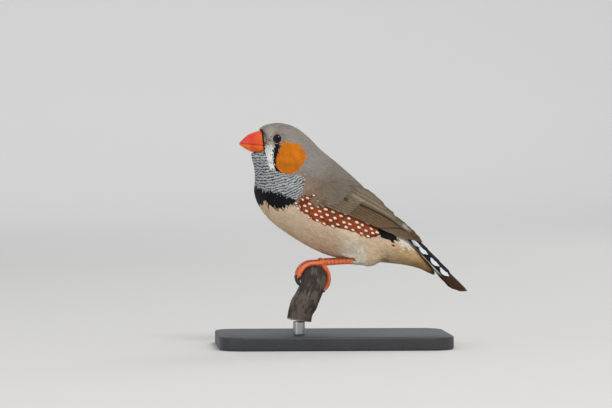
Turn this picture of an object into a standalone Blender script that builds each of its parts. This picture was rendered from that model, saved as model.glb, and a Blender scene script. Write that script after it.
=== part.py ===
"""A male zebra finch on a cut twig, held by a flat base and one short rod.

The bird looks along -X with its left side toward -Y. The origin is the centre of the base's
underside. Heights of the bird are given above the top of the twig, because it stands there.
"""
import math

import bpy
import bmesh
from mathutils import Vector

MM = 0.001

# Driving sizes, in metres
PERCH_TOP = 30.0 * MM
TWIG_RADIUS = 4.6 * MM
TWIG_X = -7.5 * MM
BASE_LENGTH = 86.0 * MM
BASE_WIDTH = 54.0 * MM
BASE_THICKNESS = 5.0 * MM
BASE_CORNER = 9.0 * MM
ROD_RADIUS = 2.2 * MM
GAP = 0.3 * MM

# Cross-sections of head, neck and torso, from the face to the tip of the undertail coverts, in mm:
# back point (x, height), belly point (x, height), half width, width moved up (+) or down (-), bow
# of the section's flanks toward the tail
STATIONS = (
    ((-28.3, 49.2), (-30.3, 41.8), 1.3, 0.05, 0.8),
    ((-27.3, 50.6), (-30.3, 41.1), 2.7, 0.14, 2.4),
    ((-25.0, 51.9), (-29.7, 38.7), 5.2, 0.20, 3.2),
    ((-20.1, 52.7), (-28.9, 35.0), 7.8, 0.10, 1.8),
    ((-14.5, 51.3), (-28.8, 30.7), 8.8, 0.06, 0.4),
    ((-9.7, 47.9), (-29.1, 26.9), 9.8, 0.00, 0.0),
    ((-4.8, 42.9), (-27.0, 21.5), 12.0, -0.04, 0.0),
    ((1.1, 38.1), (-22.3, 16.0), 14.0, -0.06, 0.0),
    ((8.4, 31.7), (-13.4, 9.7), 14.9, -0.08, 0.0),
    ((15.6, 24.4), (-3.0, 4.3), 14.0, -0.08, 0.0),
    ((21.9, 16.9), (7.4, 2.0), 11.2, -0.06, 0.0),
    ((27.0, 10.9), (19.0, 1.2), 7.6, 0.00, 0.0),
    ((31.2, 5.7), (28.0, 0.1), 4.6, 0.00, 0.0),
    ((34.8, 1.7), (33.6, -1.5), 2.6, 0.00, 0.0),
    ((37.9, -2.6), (37.6, -3.8), 1.0, 0.00, 0.0),
)
HEAD_SPAN = (0.0, 4.55)
NECK_SPAN = (4.61, 6.10)
TORSO_SPAN = (6.14, 14.0)
SEGMENTS_AROUND = 28

# Bill, in mm
BILL_TIP = (-34.6, 45.1)
BILL_ROOT_X = -24.2
BILL_CULMEN_HEIGHT = 50.6
BILL_GONYS_HEIGHT = 40.4
BILL_GAPE_HEIGHT = 44.2
BILL_HALF_WIDTH = 4.1
NOSTRIL = (-28.0, 48.7)
NOSTRIL_RADIUS = 0.45

# Eye, in mm
EYE = (-21.2, 47.0)
EYE_RADIUS = 2.1
EYE_DEPTH = 1.45
LID_RADIUS = 1.72
LID_THICKNESS = 0.42

# Core of the folded wing in side view, in mm: lower edge and upper edge from bend to hind end
WING_LOWER = ((-11.3, 25.6), (-6.7, 24.2), (-2.2, 22.6), (4.4, 20.0), (11.9, 16.9), (18.5, 14.4),
              (25.0, 12.2))
WING_UPPER = ((-10.3, 29.2), (-6.0, 31.4), (-0.5, 31.8), (6.3, 29.6), (13.4, 25.4), (19.3, 20.8),
              (26.0, 14.4))
WING_MIDLINE_CLEARANCE = (2.6, 4.7)

# Feather tiers of a wing, from the deepest to the outermost: count, first and last root, first and
# last tip (x, height), width, lift of the first feather and added lift of each next one, in mm
WING_TIERS = (
    ("primaries", 6, ((2.0, 20.8), (6.0, 24.5)), ((27.2, 9.8), (32.8, 8.7)), 2.3, 0.62, 0.05),
    ("inner_primaries", 3, ((4.0, 24.0), (8.0, 26.0)), ((31.4, 10.6), (27.8, 13.2)), 2.4, 0.95, 0.05),
    ("secondaries", 5, ((-1.0, 22.4), (5.0, 25.4)), ((19.5, 13.7), (25.4, 13.3)), 2.6, 1.05, 0.06),
    ("tertials", 3, ((1.5, 27.0), (3.5, 29.8)), ((27.0, 14.4), (19.4, 21.2)), 4.2, 1.42, 0.10),
    ("greater_coverts", 6, ((-7.5, 24.6), (-3.0, 30.2)), ((3.6, 20.4), (10.4, 26.6)), 2.7, 1.45, 0.05),
    ("median_coverts", 5, ((-9.6, 26.0), (-6.6, 30.6)), ((-2.6, 23.4), (2.6, 29.4)), 2.6, 1.62, 0.04),
)

# Tail, in mm: the ridge line of the folded tail in side view, and its feathers from the middle out
TAIL_ROOT = (24.5, 15.6)
TAIL_TIP = (50.6, -9.9)
TAIL_HALF_WIDTH = 4.7
TAIL_DROP = 3.4
TAIL_PAIRS = 6
TAIL_FEATHER_WIDTH = 3.5
TAIL_COVERT_TIPS = (11.5, 16.0, 21.0, 26.5)

# How far the twig's knots stand out, in mm
TWIG_KNOT = 0.35

# Legs and feet, in mm
FOOT_SPREAD = 6.2
ANKLE = (7.6, 1.9)
FOOT_HUB = (-4.2, 1.25)
SHANK_RADIUS = 0.95
TOE_RADIUS = 0.68
CLAW_RADIUS = 0.5


def remove_everything():
    for item in list(bpy.data.objects):
        bpy.data.objects.remove(item, do_unlink=True)


def finish(name, colour, roughness):
    """A Principled material of one node."""
    material = bpy.data.materials.new(name)
    material.use_nodes = True
    shader = material.node_tree.nodes["Principled BSDF"]
    linear = [((c + 0.055) / 1.055) ** 2.4 if c > 0.04045 else c / 12.92
              for c in (int(colour[i:i + 2], 16) / 255 for i in (0, 2, 4))]
    shader.inputs["Base Color"].default_value = (*linear, 1.0)
    shader.inputs["Roughness"].default_value = roughness
    shader.inputs["Metallic"].default_value = 0.0
    return material


def solid(name, points, faces):
    """A mesh object with its faces pointing outwards."""
    mesh = bpy.data.meshes.new(name)
    mesh.from_pydata([tuple(p) for p in points], [], faces)
    shape = bmesh.new()
    shape.from_mesh(mesh)
    bmesh.ops.recalc_face_normals(shape, faces=shape.faces)
    shape.to_mesh(mesh)
    shape.free()
    item = bpy.data.objects.new(name, mesh)
    bpy.context.collection.objects.link(item)
    return item


def loft(name, rings):
    """Rings of equally many points joined in order, each end closed by a fan."""
    count = len(rings[0])
    points = [p for ring in rings for p in ring]
    faces = []
    for r in range(len(rings) - 1):
        for i in range(count):
            a = r * count + i
            b = r * count + (i + 1) % count
            faces.append((a, b, b + count, a + count))
    for ring, first in ((rings[0], 0), (rings[-1], (len(rings) - 1) * count)):
        points.append(sum((Vector(p) for p in ring), Vector()) / count)
        hub = len(points) - 1
        faces.extend((hub, first + i, first + (i + 1) % count) for i in range(count))
    return solid(name, points, faces)


def plate(name, rows, columns, place):
    """A thin closed sheet: place(along, across) gives its lower and its upper point, with along
    from 0 to 1 and across from -1 to 1. Both faces are split into the same triangles."""
    low, high = [], []
    for r in range(rows + 1):
        for c in range(columns + 1):
            under, over = place(r / rows, 2 * c / columns - 1)
            low.append(under)
            high.append(over)
    size = len(low)
    width = columns + 1
    faces = []
    for r in range(rows):
        for c in range(columns):
            a, b = r * width + c, r * width + c + 1
            d, e = a + width, b + width
            corners = ((a, b, e), (a, e, d)) if (r + c) % 2 else ((a, b, d), (b, e, d))
            for face in corners:
                faces.append(face)
                faces.append(tuple(size + i for i in reversed(face)))
    border = ([(c, c + 1) for c in range(columns)]
              + [(r * width + columns, (r + 1) * width + columns) for r in range(rows)]
              + [(rows * width + c + 1, rows * width + c) for c in range(columns)]
              + [((r + 1) * width, r * width) for r in range(rows)])
    for a, b in border:
        faces.append((b, a, size + a))
        faces.append((b, size + a, size + b))
    return solid(name, low + high, faces)


def tube(name, path, radii, sides, reference=(0, 1, 0)):
    """A round bar along a path, with a radius at each of its points."""
    reference = Vector(reference)
    rings = []
    for i, (centre, radius) in enumerate(zip(path, radii)):
        ahead = path[min(i + 1, len(path) - 1)] - path[max(i - 1, 0)]
        side = (reference - reference.project(ahead)).normalized()
        up = ahead.cross(side).normalized()
        rings.append([centre + side * radius * math.cos(k * math.tau / sides)
                      + up * radius * math.sin(k * math.tau / sides) for k in range(sides)])
    return loft(name, rings)


def ball(name, centre, radius, segments=16, rings=10, scale=(1, 1, 1)):
    shape = bmesh.new()
    bmesh.ops.create_uvsphere(shape, u_segments=segments, v_segments=rings, radius=radius)
    bmesh.ops.scale(shape, vec=scale, verts=shape.verts)
    bmesh.ops.translate(shape, vec=centre, verts=shape.verts)
    mesh = bpy.data.meshes.new(name)
    shape.to_mesh(mesh)
    shape.free()
    item = bpy.data.objects.new(name, mesh)
    bpy.context.collection.objects.link(item)
    return item


def combine(item, others, operation):
    """One Boolean of an object with a collection of closed meshes, applied; they are removed."""
    group = bpy.data.collections.new("operands")
    bpy.context.scene.collection.children.link(group)
    for other in others:
        for owner in list(other.users_collection):
            owner.objects.unlink(other)
        group.objects.link(other)
    step = item.modifiers.new(operation, "BOOLEAN")
    step.operand_type = "COLLECTION"
    step.collection = group
    step.operation = operation
    step.solver = "EXACT"
    mesh = bpy.data.meshes.new_from_object(item.evaluated_get(bpy.context.evaluated_depsgraph_get()))
    item.modifiers.clear()
    item.data = mesh
    for other in list(group.objects):
        bpy.data.objects.remove(other, do_unlink=True)
    bpy.data.collections.remove(group)
    keep_largest(item)


def keep_largest(item):
    """Keep only the largest closed surface of a mesh."""
    shape = bmesh.new()
    shape.from_mesh(item.data)
    todo = set(shape.verts)
    parts = []
    while todo:
        stack = [todo.pop()]
        part = set(stack)
        while stack:
            for edge in stack.pop().link_edges:
                for corner in edge.verts:
                    if corner in todo:
                        todo.discard(corner)
                        part.add(corner)
                        stack.append(corner)
        parts.append(part)
    parts.sort(key=len)
    for part in parts[:-1]:
        bmesh.ops.delete(shape, geom=list(part), context="VERTS")
    shape.to_mesh(item.data)
    shape.free()


def node(item, name, colour, roughness):
    item.name = name
    item.data.name = name
    item.data.materials.clear()
    item.data.materials.append(finish(name, colour, roughness))
    item.data.shade_smooth()
    item.data.set_sharp_from_angle(angle=math.radians(35))


def spline(values, position):
    """Catmull-Rom reading of a row of numbers or of tuples of numbers."""
    last = len(values) - 1
    i = min(max(int(position), 0), last - 1)
    t = position - i
    p0, p1, p2, p3 = (values[min(max(k, 0), last)] for k in (i - 1, i, i + 1, i + 2))

    def read(a, b, c, d):
        return 0.5 * (2 * b + (c - a) * t + (2 * a - 5 * b + 4 * c - d) * t * t
                      + (3 * b - a - 3 * c + d) * t ** 3)
    if isinstance(p1, tuple):
        return tuple(read(*q) for q in zip(p0, p1, p2, p3))
    return read(p0, p1, p2, p3)


def world(x, y, height):
    """Millimetres along, across and above the top of the twig, to metres."""
    return Vector((x * MM, y * MM, PERCH_TOP + height * MM))


# Shape of the body

def section(position):
    """Centre, half depth, direction toward the back, half width, skew and bow of a section."""
    back = spline([s[0] for s in STATIONS], position)
    belly = spline([s[1] for s in STATIONS], position)
    half_width, skew, bow = spline([s[2:] for s in STATIONS], position)
    centre = ((back[0] + belly[0]) / 2, (back[1] + belly[1]) / 2)
    half = ((back[0] - belly[0]) / 2, (back[1] - belly[1]) / 2)
    depth = math.hypot(*half)
    return centre, depth, (half[0] / depth, half[1] / depth), half_width, skew, bow


def body_ring(position, grow=0.0):
    centre, depth, up, half_width, skew, bow = section(position)
    ring = []
    for k in range(SEGMENTS_AROUND):
        angle = k * math.tau / SEGMENTS_AROUND
        rise = math.cos(angle) * (depth + grow)
        out = math.sin(angle) * (half_width + grow) * (1 + skew * math.cos(angle))
        sweep = bow * math.sin(angle) ** 2
        ring.append(world(centre[0] + rise * up[0] + sweep * up[1], out,
                          centre[1] + rise * up[1] - sweep * up[0]))
    return ring


def body_length(name, span, steps, grow=0.0):
    first, last = span
    return loft(name, [body_ring(first + (last - first) * i / steps, grow)
                       for i in range(steps + 1)])


def body_half_width(x, height):
    """Half width of the body at a point of the side view, in mm."""
    low, high = 2.0, len(STATIONS) - 1.0
    for _ in range(26):
        middle = (low + high) / 2
        centre, depth, up, half_width, skew, bow = section(middle)
        if (x - centre[0]) * up[1] - (height - centre[1]) * up[0] > 0:
            low = middle
        else:
            high = middle
    share = ((x - centre[0]) * up[0] + (height - centre[1]) * up[1]) / depth
    return half_width * (1 + skew * share) * math.sqrt(max(0.0, 1 - share * share))


def make_head():
    head = body_length("head", HEAD_SPAN, 15)
    cutters = [bill("bill_socket", 1, -1, GAP / MM)]
    lids = []
    for side in (-1, 1):
        centre, outward = eye_place(side)
        cutters.append(ball("socket", centre, EYE_RADIUS * MM + GAP, 14, 10))
        path = ring_path(centre + outward * math.sqrt(EYE_RADIUS ** 2 - LID_RADIUS ** 2) * 1.12 * MM,
                         outward, LID_RADIUS * 1.22 * MM, 18)
        lids.append(ring_bar("lid", path, LID_THICKNESS * MM, 5))
    combine(head, lids, "UNION")
    combine(head, cutters, "DIFFERENCE")
    node(head, "head", "9a948c", 0.85)


def eye_place(side):
    """Centre of an eyeball, sunk into the head, and the way it looks."""
    half_width = body_half_width(*EYE)
    outward = Vector((-0.28, side * 1.0, 0.12)).normalized()
    surface = world(EYE[0], side * half_width, EYE[1])
    return surface - outward * EYE_DEPTH * MM, outward


def ring_path(centre, axis, radius, count):
    first = axis.cross(Vector((0, 0, 1))).normalized()
    second = axis.cross(first).normalized()
    return [centre + (first * math.cos(k * math.tau / count) + second * math.sin(k * math.tau / count))
            * radius for k in range(count)]


def ring_bar(name, path, radius, sides):
    """A closed ring of round section."""
    count = len(path)
    middle = sum(path, Vector()) / count
    axis = (path[0] - middle).cross(path[1] - middle).normalized()
    points, faces = [], []
    for centre in path:
        out = (centre - middle).normalized()
        points.extend(centre + (out * math.cos(k * math.tau / sides)
                                + axis * math.sin(k * math.tau / sides)) * radius
                      for k in range(sides))
    for i in range(count):
        for k in range(sides):
            a = i * sides + k
            b = i * sides + (k + 1) % sides
            c = (i + 1) % count * sides + (k + 1) % sides
            d = (i + 1) % count * sides + k
            faces.append((a, b, c, d))
    return solid(name, points, faces)


def make_eyes():
    for side, name in ((-1, "eye_left"), (1, "eye_right")):
        centre, outward = eye_place(side)
        node(ball(name, centre, EYE_RADIUS * MM, 14, 10), name, "140f10", 0.08)


def bill(name, upper, lower, grow=0.0):
    """The bill as a cone: upper is 1 for its culmen half, lower is -1 for its gonys half."""
    steps, sides = 9, 9
    rings = []
    tip_x = BILL_TIP[0] - grow
    for i in range(steps + 1):
        along = (i / steps) ** 0.8
        x = tip_x + (BILL_ROOT_X - tip_x) * along
        reach = max(along, 0.03)
        mouth = BILL_TIP[1] + (BILL_GAPE_HEIGHT - BILL_TIP[1]) * along ** 1.5
        top = mouth + (BILL_CULMEN_HEIGHT - BILL_GAPE_HEIGHT) * reach ** 0.52 + grow
        bottom = mouth - (BILL_GAPE_HEIGHT - BILL_GONYS_HEIGHT) * reach ** 0.45 - grow
        half_width = BILL_HALF_WIDTH * reach ** 0.62 + grow
        ring = []
        if upper:
            start = mouth if lower else mouth + GAP / MM / 2
            ring += [world(x, half_width * math.cos(k * math.pi / sides),
                           start + (top - start) * math.sin(k * math.pi / sides) ** 0.92)
                     for k in range(sides + 1)]
        if lower:
            start = mouth if upper else mouth - GAP / MM / 2
            ring += [world(x, -half_width * math.cos(k * math.pi / sides),
                           start + (bottom - start) * math.sin(k * math.pi / sides) ** 0.92)
                     for k in range(1 if upper else 0, sides if upper else sides + 1)]
        rings.append(ring)
    return loft(name, rings)


def make_bill():
    upper = bill("bill_upper", 1, 0)
    nostrils = [ball("nostril", world(NOSTRIL[0], side * 2.15, NOSTRIL[1]), NOSTRIL_RADIUS * MM, 8, 6)
                for side in (-1, 1)]
    combine(upper, nostrils, "DIFFERENCE")
    node(upper, "bill_upper", "e2442e", 0.35)
    node(bill("bill_lower", 0, -1), "bill_lower", "ee6a1e", 0.35)


# Folded wings

def wing_surface(x, height, side, lift):
    """A point lying lift mm outside the body, at a place of the side view."""
    def across(a, b):
        near, far = WING_MIDLINE_CLEARANCE
        clearance = near + (far - near) * min(max((a - 8) / 18, 0), 1)
        wide = body_half_width(a, b)
        return 0.5 * (wide + clearance + math.hypot(wide - clearance, 1.6))
    step = 0.4
    y = across(x, height)
    slope_x = (across(x + step, height) - across(x - step, height)) / (2 * step)
    slope_z = (across(x, height + step) - across(x, height - step)) / (2 * step)
    outward = Vector((-slope_x, 1, -slope_z)).normalized() * lift
    return world(x + outward.x, side * (y + outward.y), height + outward.z)


def vane(name, surface, root, tip, width, lift, thickness, sag=0.0):
    """One flight feather as a thin tapered sheet; surface(a, b, lift) places a point of it."""
    rows = 5
    half_widths = (0.5, 0.86, 1.0, 0.92, 0.66, 0.2)
    shares = (0.0, 0.32, 0.62, 0.83, 0.95, 1.0)
    run = (tip[0] - root[0], tip[1] - root[1])
    length = math.hypot(*run)
    side = (-run[1] / length, run[0] / length)

    def place(along, across):
        r = round(along * rows)
        share = shares[r]
        off = across * half_widths[r] * width / 2 - sag * 4 * share * (1 - share)
        a = root[0] + run[0] * share + side[0] * off
        b = root[1] + run[1] * share + side[1] * off
        top = lift * (0.7 + 0.3 * min(1.0, share * 2)) + 0.12 * (1 - abs(across)) - 0.1 * across
        return surface(a, b, top - thickness), surface(a, b, top)
    return plate(name, rows, 2, place)


def make_wing(side, name):
    def surface(x, height, lift):
        return wing_surface(x, height, side, lift)

    def place(along, across):
        position = along * (len(WING_LOWER) - 1)
        low = spline(WING_LOWER, position)
        high = spline(WING_UPPER, position)
        share = (across + 1) / 2
        x = low[0] + (high[0] - low[0]) * share
        height = low[1] + (high[1] - low[1]) * share
        crown = (1 - across * across) * (1 - along) ** 0.7
        return surface(x, height, -0.5), surface(x, height, 0.45 + 1.15 * crown)
    wing = plate(name, 10, 6, place)
    feathers = []
    for tier, count, roots, tips, width, lift, step in WING_TIERS:
        for i in range(count):
            share = i / (count - 1)
            root = tuple(a + (b - a) * share for a, b in zip(*roots))
            tip = tuple(a + (b - a) * share for a, b in zip(*tips))
            thickness = 0.55 if tier.endswith("primaries") else 0.75
            feathers.append(vane(tier, surface, root, tip, width, lift + step * i, thickness))
    combine(wing, feathers, "UNION")
    combine(wing, [body_length("body", (5.0, TORSO_SPAN[1]), 20, GAP / MM)], "DIFFERENCE")
    node(wing, name, "6b5d4e", 0.8)


# Tail

def tail_surface(along, across, lift):
    """A point lift mm above the roof of the tail, along mm from its root and across mm off it."""
    run = Vector((TAIL_TIP[0] - TAIL_ROOT[0], 0, TAIL_TIP[1] - TAIL_ROOT[1])).normalized()
    normal = Vector((-run.z, 0, run.x))
    drop = TAIL_DROP * (abs(across) / TAIL_HALF_WIDTH) ** 1.4
    point = (Vector((TAIL_ROOT[0], across, TAIL_ROOT[1])) + run * along + normal * (lift - drop))
    return world(*point)


def make_tail():
    length = math.hypot(TAIL_TIP[0] - TAIL_ROOT[0], TAIL_TIP[1] - TAIL_ROOT[1])

    def place(along, across):
        a = along * length * 0.72
        b = across * TAIL_HALF_WIDTH * (0.5 + 0.3 * along)
        return tail_surface(a, b, -0.75), tail_surface(a, b, -0.1)
    tail = plate("tail", 6, 6, place)
    feathers = []
    for side in (-1, 1):
        for i in range(TAIL_PAIRS):
            share = i / (TAIL_PAIRS - 1)
            off = 0.75 + (TAIL_HALF_WIDTH - TAIL_FEATHER_WIDTH / 2 - 0.75) * share
            tip = (length - 0.4 - 1.9 * share ** 1.5, side * off)
            feathers.append(vane("rectrix", tail_surface, (1.0, side * off * 0.5), tip,
                                 TAIL_FEATHER_WIDTH, 0.12 - 0.1 * i - 0.02 * (side > 0), 0.55))
        for i, reach in enumerate(TAIL_COVERT_TIPS):
            off = 1.0 + 0.55 * ((i + 1) % 3)
            feathers.append(vane("covert", tail_surface, (0.5, side * off * 0.8), (reach, side * off),
                                 3.6, 0.85 - 0.12 * i + 0.03 * (side > 0), 0.8))
    combine(tail, feathers, "UNION")
    combine(tail, [body_length("body", (9.0, TORSO_SPAN[1]), 16, GAP / MM)], "DIFFERENCE")
    node(tail, "tail", "2a221c", 0.75)


# Legs and feet

def make_leg(side, label):
    y = side * FOOT_SPREAD
    thigh = ball("thigh_" + label, world(13.0, side * 6.6, 3.8), 1.0 * MM, 16, 12, (4.9, 4.2, 4.1))
    cuff_path = [world(11.4, y, 4.0), world(9.6, y, 2.8), world(ANKLE[0] + 0.8, y, ANKLE[1] + 0.05),
                 world(ANKLE[0], y, ANKLE[1])]
    ankle_cuff = tube("cuff", cuff_path, [3.0 * MM, 2.1 * MM, 1.4 * MM, 1.2 * MM], 12)
    combine(thigh, [ankle_cuff], "UNION")
    combine(thigh, [body_length("body", (8.0, 13.0), 16, GAP / MM)], "DIFFERENCE")
    node(thigh, "thigh_" + label, "c9b8a0", 0.9)

    ankle = world(ANKLE[0], y, ANKLE[1])
    hub = world(FOOT_HUB[0], y, FOOT_HUB[1])
    along = (hub - ankle).normalized()
    start = ankle + along * GAP
    stop = hub - along * (GAP + 1.0 * MM)
    stations = (0.0, 0.15, 0.5, 0.85, 1.0)
    swell = (1.12, 1.0, 0.92, 0.98, 1.08)
    shank = tube("shank_" + label, [start.lerp(stop, s) for s in stations],
                 [SHANK_RADIUS * MM * w for w in swell], 10)
    node(shank, "shank_" + label, "dd6a42", 0.5)
    make_foot(side, label, hub)


def around_twig(angle, y, radius):
    """A point beside the twig: angle in degrees from its right side over its top."""
    turn = math.radians(angle)
    return Vector((TWIG_X + radius * math.cos(turn), y,
                   PERCH_TOP - TWIG_RADIUS + radius * math.sin(turn)))


def make_foot(side, label, hub):
    """Three toes over the front of the twig and the hind toe behind it, each with its claw."""
    lay = TWIG_RADIUS + GAP + TOE_RADIUS * MM
    toes = ((-2.3, 168, 8), (0.0, 182, 9), (2.4, 172, 8))
    pieces = []
    for number, (spread, stop, steps) in enumerate(toes, 1):
        y_end = hub.y + side * spread * MM
        angles = [82 + (stop - 82) * i / steps for i in range(steps + 1)]
        path = [hub + Vector((0.9 * MM, 0, 0))]
        path += [around_twig(a, hub.y + (y_end - hub.y) * min(1, 0.25 + i / steps), lay)
                 for i, a in enumerate(angles)]
        radii = [TOE_RADIUS * MM * (1.15 if i < 2 else 1.0 - 0.02 * i) for i in range(len(path))]
        pieces.append(tube("toe", path, radii, 8))
        make_claw(f"claw_{label}_{number}", stop, 1, y_end)
    steps = 8
    angles = [38 + (-44 - 38) * i / steps for i in range(steps + 1)]
    path = [hub + Vector((-0.6 * MM, 0, 0.0))] + [around_twig(a, hub.y, lay) for a in angles]
    radii = [TOE_RADIUS * MM * (1.2 if i < 2 else 1.05 - 0.02 * i) for i in range(len(path))]
    pieces.append(tube("toe", path, radii, 8))
    make_claw(f"claw_{label}_4", -44, -1, hub.y)
    foot = ball("foot_" + label, hub, 1.18 * MM, 12, 8)
    combine(foot, pieces, "UNION")
    node(foot, "foot_" + label, "dd6a42", 0.5)


def make_claw(name, start, turn, y):
    """A horn that carries a toe's curve on round the twig; turn is the way round it."""
    lay = TWIG_RADIUS + GAP + TOE_RADIUS * MM
    sweep = 34
    steps = 5
    gap_angle = math.degrees(GAP / lay)
    path, radii = [], []
    for i in range(steps + 1):
        share = i / steps
        angle = start + turn * (gap_angle + sweep * share)
        path.append(around_twig(angle, y, lay + (0.25 - 0.35 * share ** 2) * MM))
        radii.append(CLAW_RADIUS * MM * (1 - share) ** 0.7 + 0.08 * MM)
    node(tube(name, path, radii, 7), name, "2a2622", 0.4)


# Twig and stand

def make_perch():
    """The twig runs across under both feet, then bends down toward the viewer's side."""
    x, low = TWIG_X / MM, -TWIG_RADIUS / MM
    route = ((x + 1.8, 15.5, low + 0.4), (x + 0.7, 10.5, low + 0.1), (x, 5.0, low), (x, 0.0, low),
             (x, -5.0, low), (x, -9.6, low - 0.1), (-8.8, -13.6, -7.4), (-10.9, -15.6, -11.8),
             (-13.0, -16.3, -15.8), (-13.7, -16.4, -19.4))
    count = 22
    path, radii = [], []
    for i in range(count + 1):
        position = (len(route) - 1) * i / count
        path.append(world(*spline(route, position)))
        knot = math.exp(-((position - 7.4) / 0.5) ** 2) + math.exp(-(position / 0.5) ** 2)
        radii.append(TWIG_RADIUS + TWIG_KNOT * MM * knot)
    perch = tube("perch", path, radii, 14, (0.9, 0.25, 0.4))
    node(perch, "perch", "453f3a", 0.95)
    return path[-1]


def make_stand(seat):
    base = solid("stand_base", *rounded_slab(BASE_LENGTH, BASE_WIDTH, BASE_THICKNESS, BASE_CORNER))
    node(base, "stand_base", "e6e1d8", 0.6)
    bottom = Vector((seat.x, seat.y, BASE_THICKNESS + GAP))
    top = Vector((seat.x, seat.y, seat.z - GAP))
    rod = tube("stand_rod", [bottom, bottom.lerp(top, 0.5), top], [ROD_RADIUS] * 3, 20)
    node(rod, "stand_rod", "a9a9a6", 0.35)


def rounded_slab(length, width, thickness, corner):
    """A slab with round corners and a small bevel round its upper edge."""
    bevel = 1.0 * MM
    outline = []
    for quarter, (sx, sy) in enumerate(((1, 1), (-1, 1), (-1, -1), (1, -1))):
        for k in range(6):
            angle = math.pi / 2 * (quarter + k / 5)
            outline.append((sx * (length / 2 - corner), sy * (width / 2 - corner), angle))
    points = []
    for inset, z in ((0.0, 0.0), (0.0, thickness - bevel), (bevel, thickness)):
        points.extend(Vector((cx + (corner - inset) * math.cos(a), cy + (corner - inset) * math.sin(a), z))
                      for cx, cy, a in outline)
    count = len(outline)
    faces = [tuple(range(count)), tuple(range(2 * count, 3 * count))]
    faces += [(r * count + i, r * count + (i + 1) % count,
               (r + 1) * count + (i + 1) % count, (r + 1) * count + i)
              for r in range(2) for i in range(count)]
    return points, faces


remove_everything()
make_head()
node(body_length("neck", NECK_SPAN, 5), "neck", "9aa0a0", 0.85)
node(body_length("torso", TORSO_SPAN, 22), "torso", "d8c8b4", 0.9)
make_bill()
make_eyes()
make_wing(-1, "wing_left")
make_wing(1, "wing_right")
make_tail()
make_leg(-1, "left")
make_leg(1, "right")
make_stand(make_perch())
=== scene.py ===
"""A male zebra finch on a cut twig and a plain display stand, life size."""
import functools
import math

import bpy
import numpy as np
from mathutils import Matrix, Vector, kdtree, noise
from mathutils.bvhtree import BVHTree


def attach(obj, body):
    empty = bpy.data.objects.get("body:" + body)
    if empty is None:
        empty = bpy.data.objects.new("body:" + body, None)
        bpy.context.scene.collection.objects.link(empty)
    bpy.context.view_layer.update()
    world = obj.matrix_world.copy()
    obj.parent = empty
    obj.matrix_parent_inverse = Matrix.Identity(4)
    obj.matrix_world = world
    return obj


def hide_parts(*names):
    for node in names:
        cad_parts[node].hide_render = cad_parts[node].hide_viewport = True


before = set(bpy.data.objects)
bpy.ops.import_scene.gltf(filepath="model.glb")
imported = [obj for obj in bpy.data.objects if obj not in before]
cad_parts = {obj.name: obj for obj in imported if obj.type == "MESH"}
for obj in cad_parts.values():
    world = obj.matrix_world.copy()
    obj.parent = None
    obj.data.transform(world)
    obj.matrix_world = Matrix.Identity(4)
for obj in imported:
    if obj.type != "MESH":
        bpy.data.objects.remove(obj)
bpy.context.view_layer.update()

# Camera
# The bird is seen in profile from its left, level with its breast, from about a metre and a
# quarter, so that one millimetre of it is 2.7 pixels of a picture 612 pixels wide.
MM = 0.001
PERCH_TOP = 30.0 * MM
PIXELS_PER_MM = 2.7
FRAME_WIDTH = 612
LENS = 200.0
SENSOR = 36.0
PICTURE_MIDDLE = (306.0, 204.0)
TWIG_TOP_PIXEL = (333.0, 265.5)
CAMERA_AZIMUTH = math.radians(4.0)
CAMERA_ELEVATION = math.radians(1.5)

distance = FRAME_WIDTH / PIXELS_PER_MM * MM * LENS / SENSOR
aim = Vector(((PICTURE_MIDDLE[0] - TWIG_TOP_PIXEL[0]) / PIXELS_PER_MM * MM, 0,
              PERCH_TOP + (TWIG_TOP_PIXEL[1] - PICTURE_MIDDLE[1]) / PIXELS_PER_MM * MM))
away = Vector((-math.sin(CAMERA_AZIMUTH) * math.cos(CAMERA_ELEVATION),
               -math.cos(CAMERA_AZIMUTH) * math.cos(CAMERA_ELEVATION), math.sin(CAMERA_ELEVATION)))
bpy.ops.object.camera_add(location=aim + away * distance,
                          rotation=(-away).to_track_quat("-Z", "Y").to_euler())
camera = bpy.context.object
camera.data.lens = LENS
camera.data.sensor_width = SENSOR
bpy.context.scene.camera = camera

# Studio
# A wide matt floor of pale grey paper that curves up into a round wall, lit by one large soft
# lamp high on the right of the lens, weaker ones on the left and behind, and a pale room above.
FLOOR_RADIUS = 1.5
FLOOR_SIDES = 96
WALL_CURVE = 3.0
WALL_STEPS = 16
WALL_HEIGHT = 0.1
FLOOR_COLOUR = "d2d1ce"
ROOM_COLOUR = "dfe3e8"
ROOM_STRENGTH = 0.95
# Each lamp is its name, place, target, size, power and colour.
LAMPS = (("key", (0.28, -0.75, 1.05), (0, 0, 0.05), 0.45, 7.4, "fff6ec"),
         ("fill", (-0.95, -0.65, 0.35), (0, 0, 0.05), 0.70, 2.2, "eef3ff"),
         ("rim", (0.55, 0.85, 0.75), (0, 0, 0.05), 0.50, 2.6, "ffffff"),
         ("backdrop", (0.0, 1.6, 1.5), (0, 4.2, 0.0), 1.2, 12.0, "ffffff"))
PAPER_GRAIN = 1.2


def linear(colour):
    """A colour written as sRGB hex, as linear red, green, blue and alpha."""
    channels = [int(colour[i:i + 2], 16) / 255 for i in (0, 2, 4)]
    return tuple(c / 12.92 if c <= 0.04045 else ((c + 0.055) / 1.055) ** 2.4 for c in channels) + (1.0,)


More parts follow.
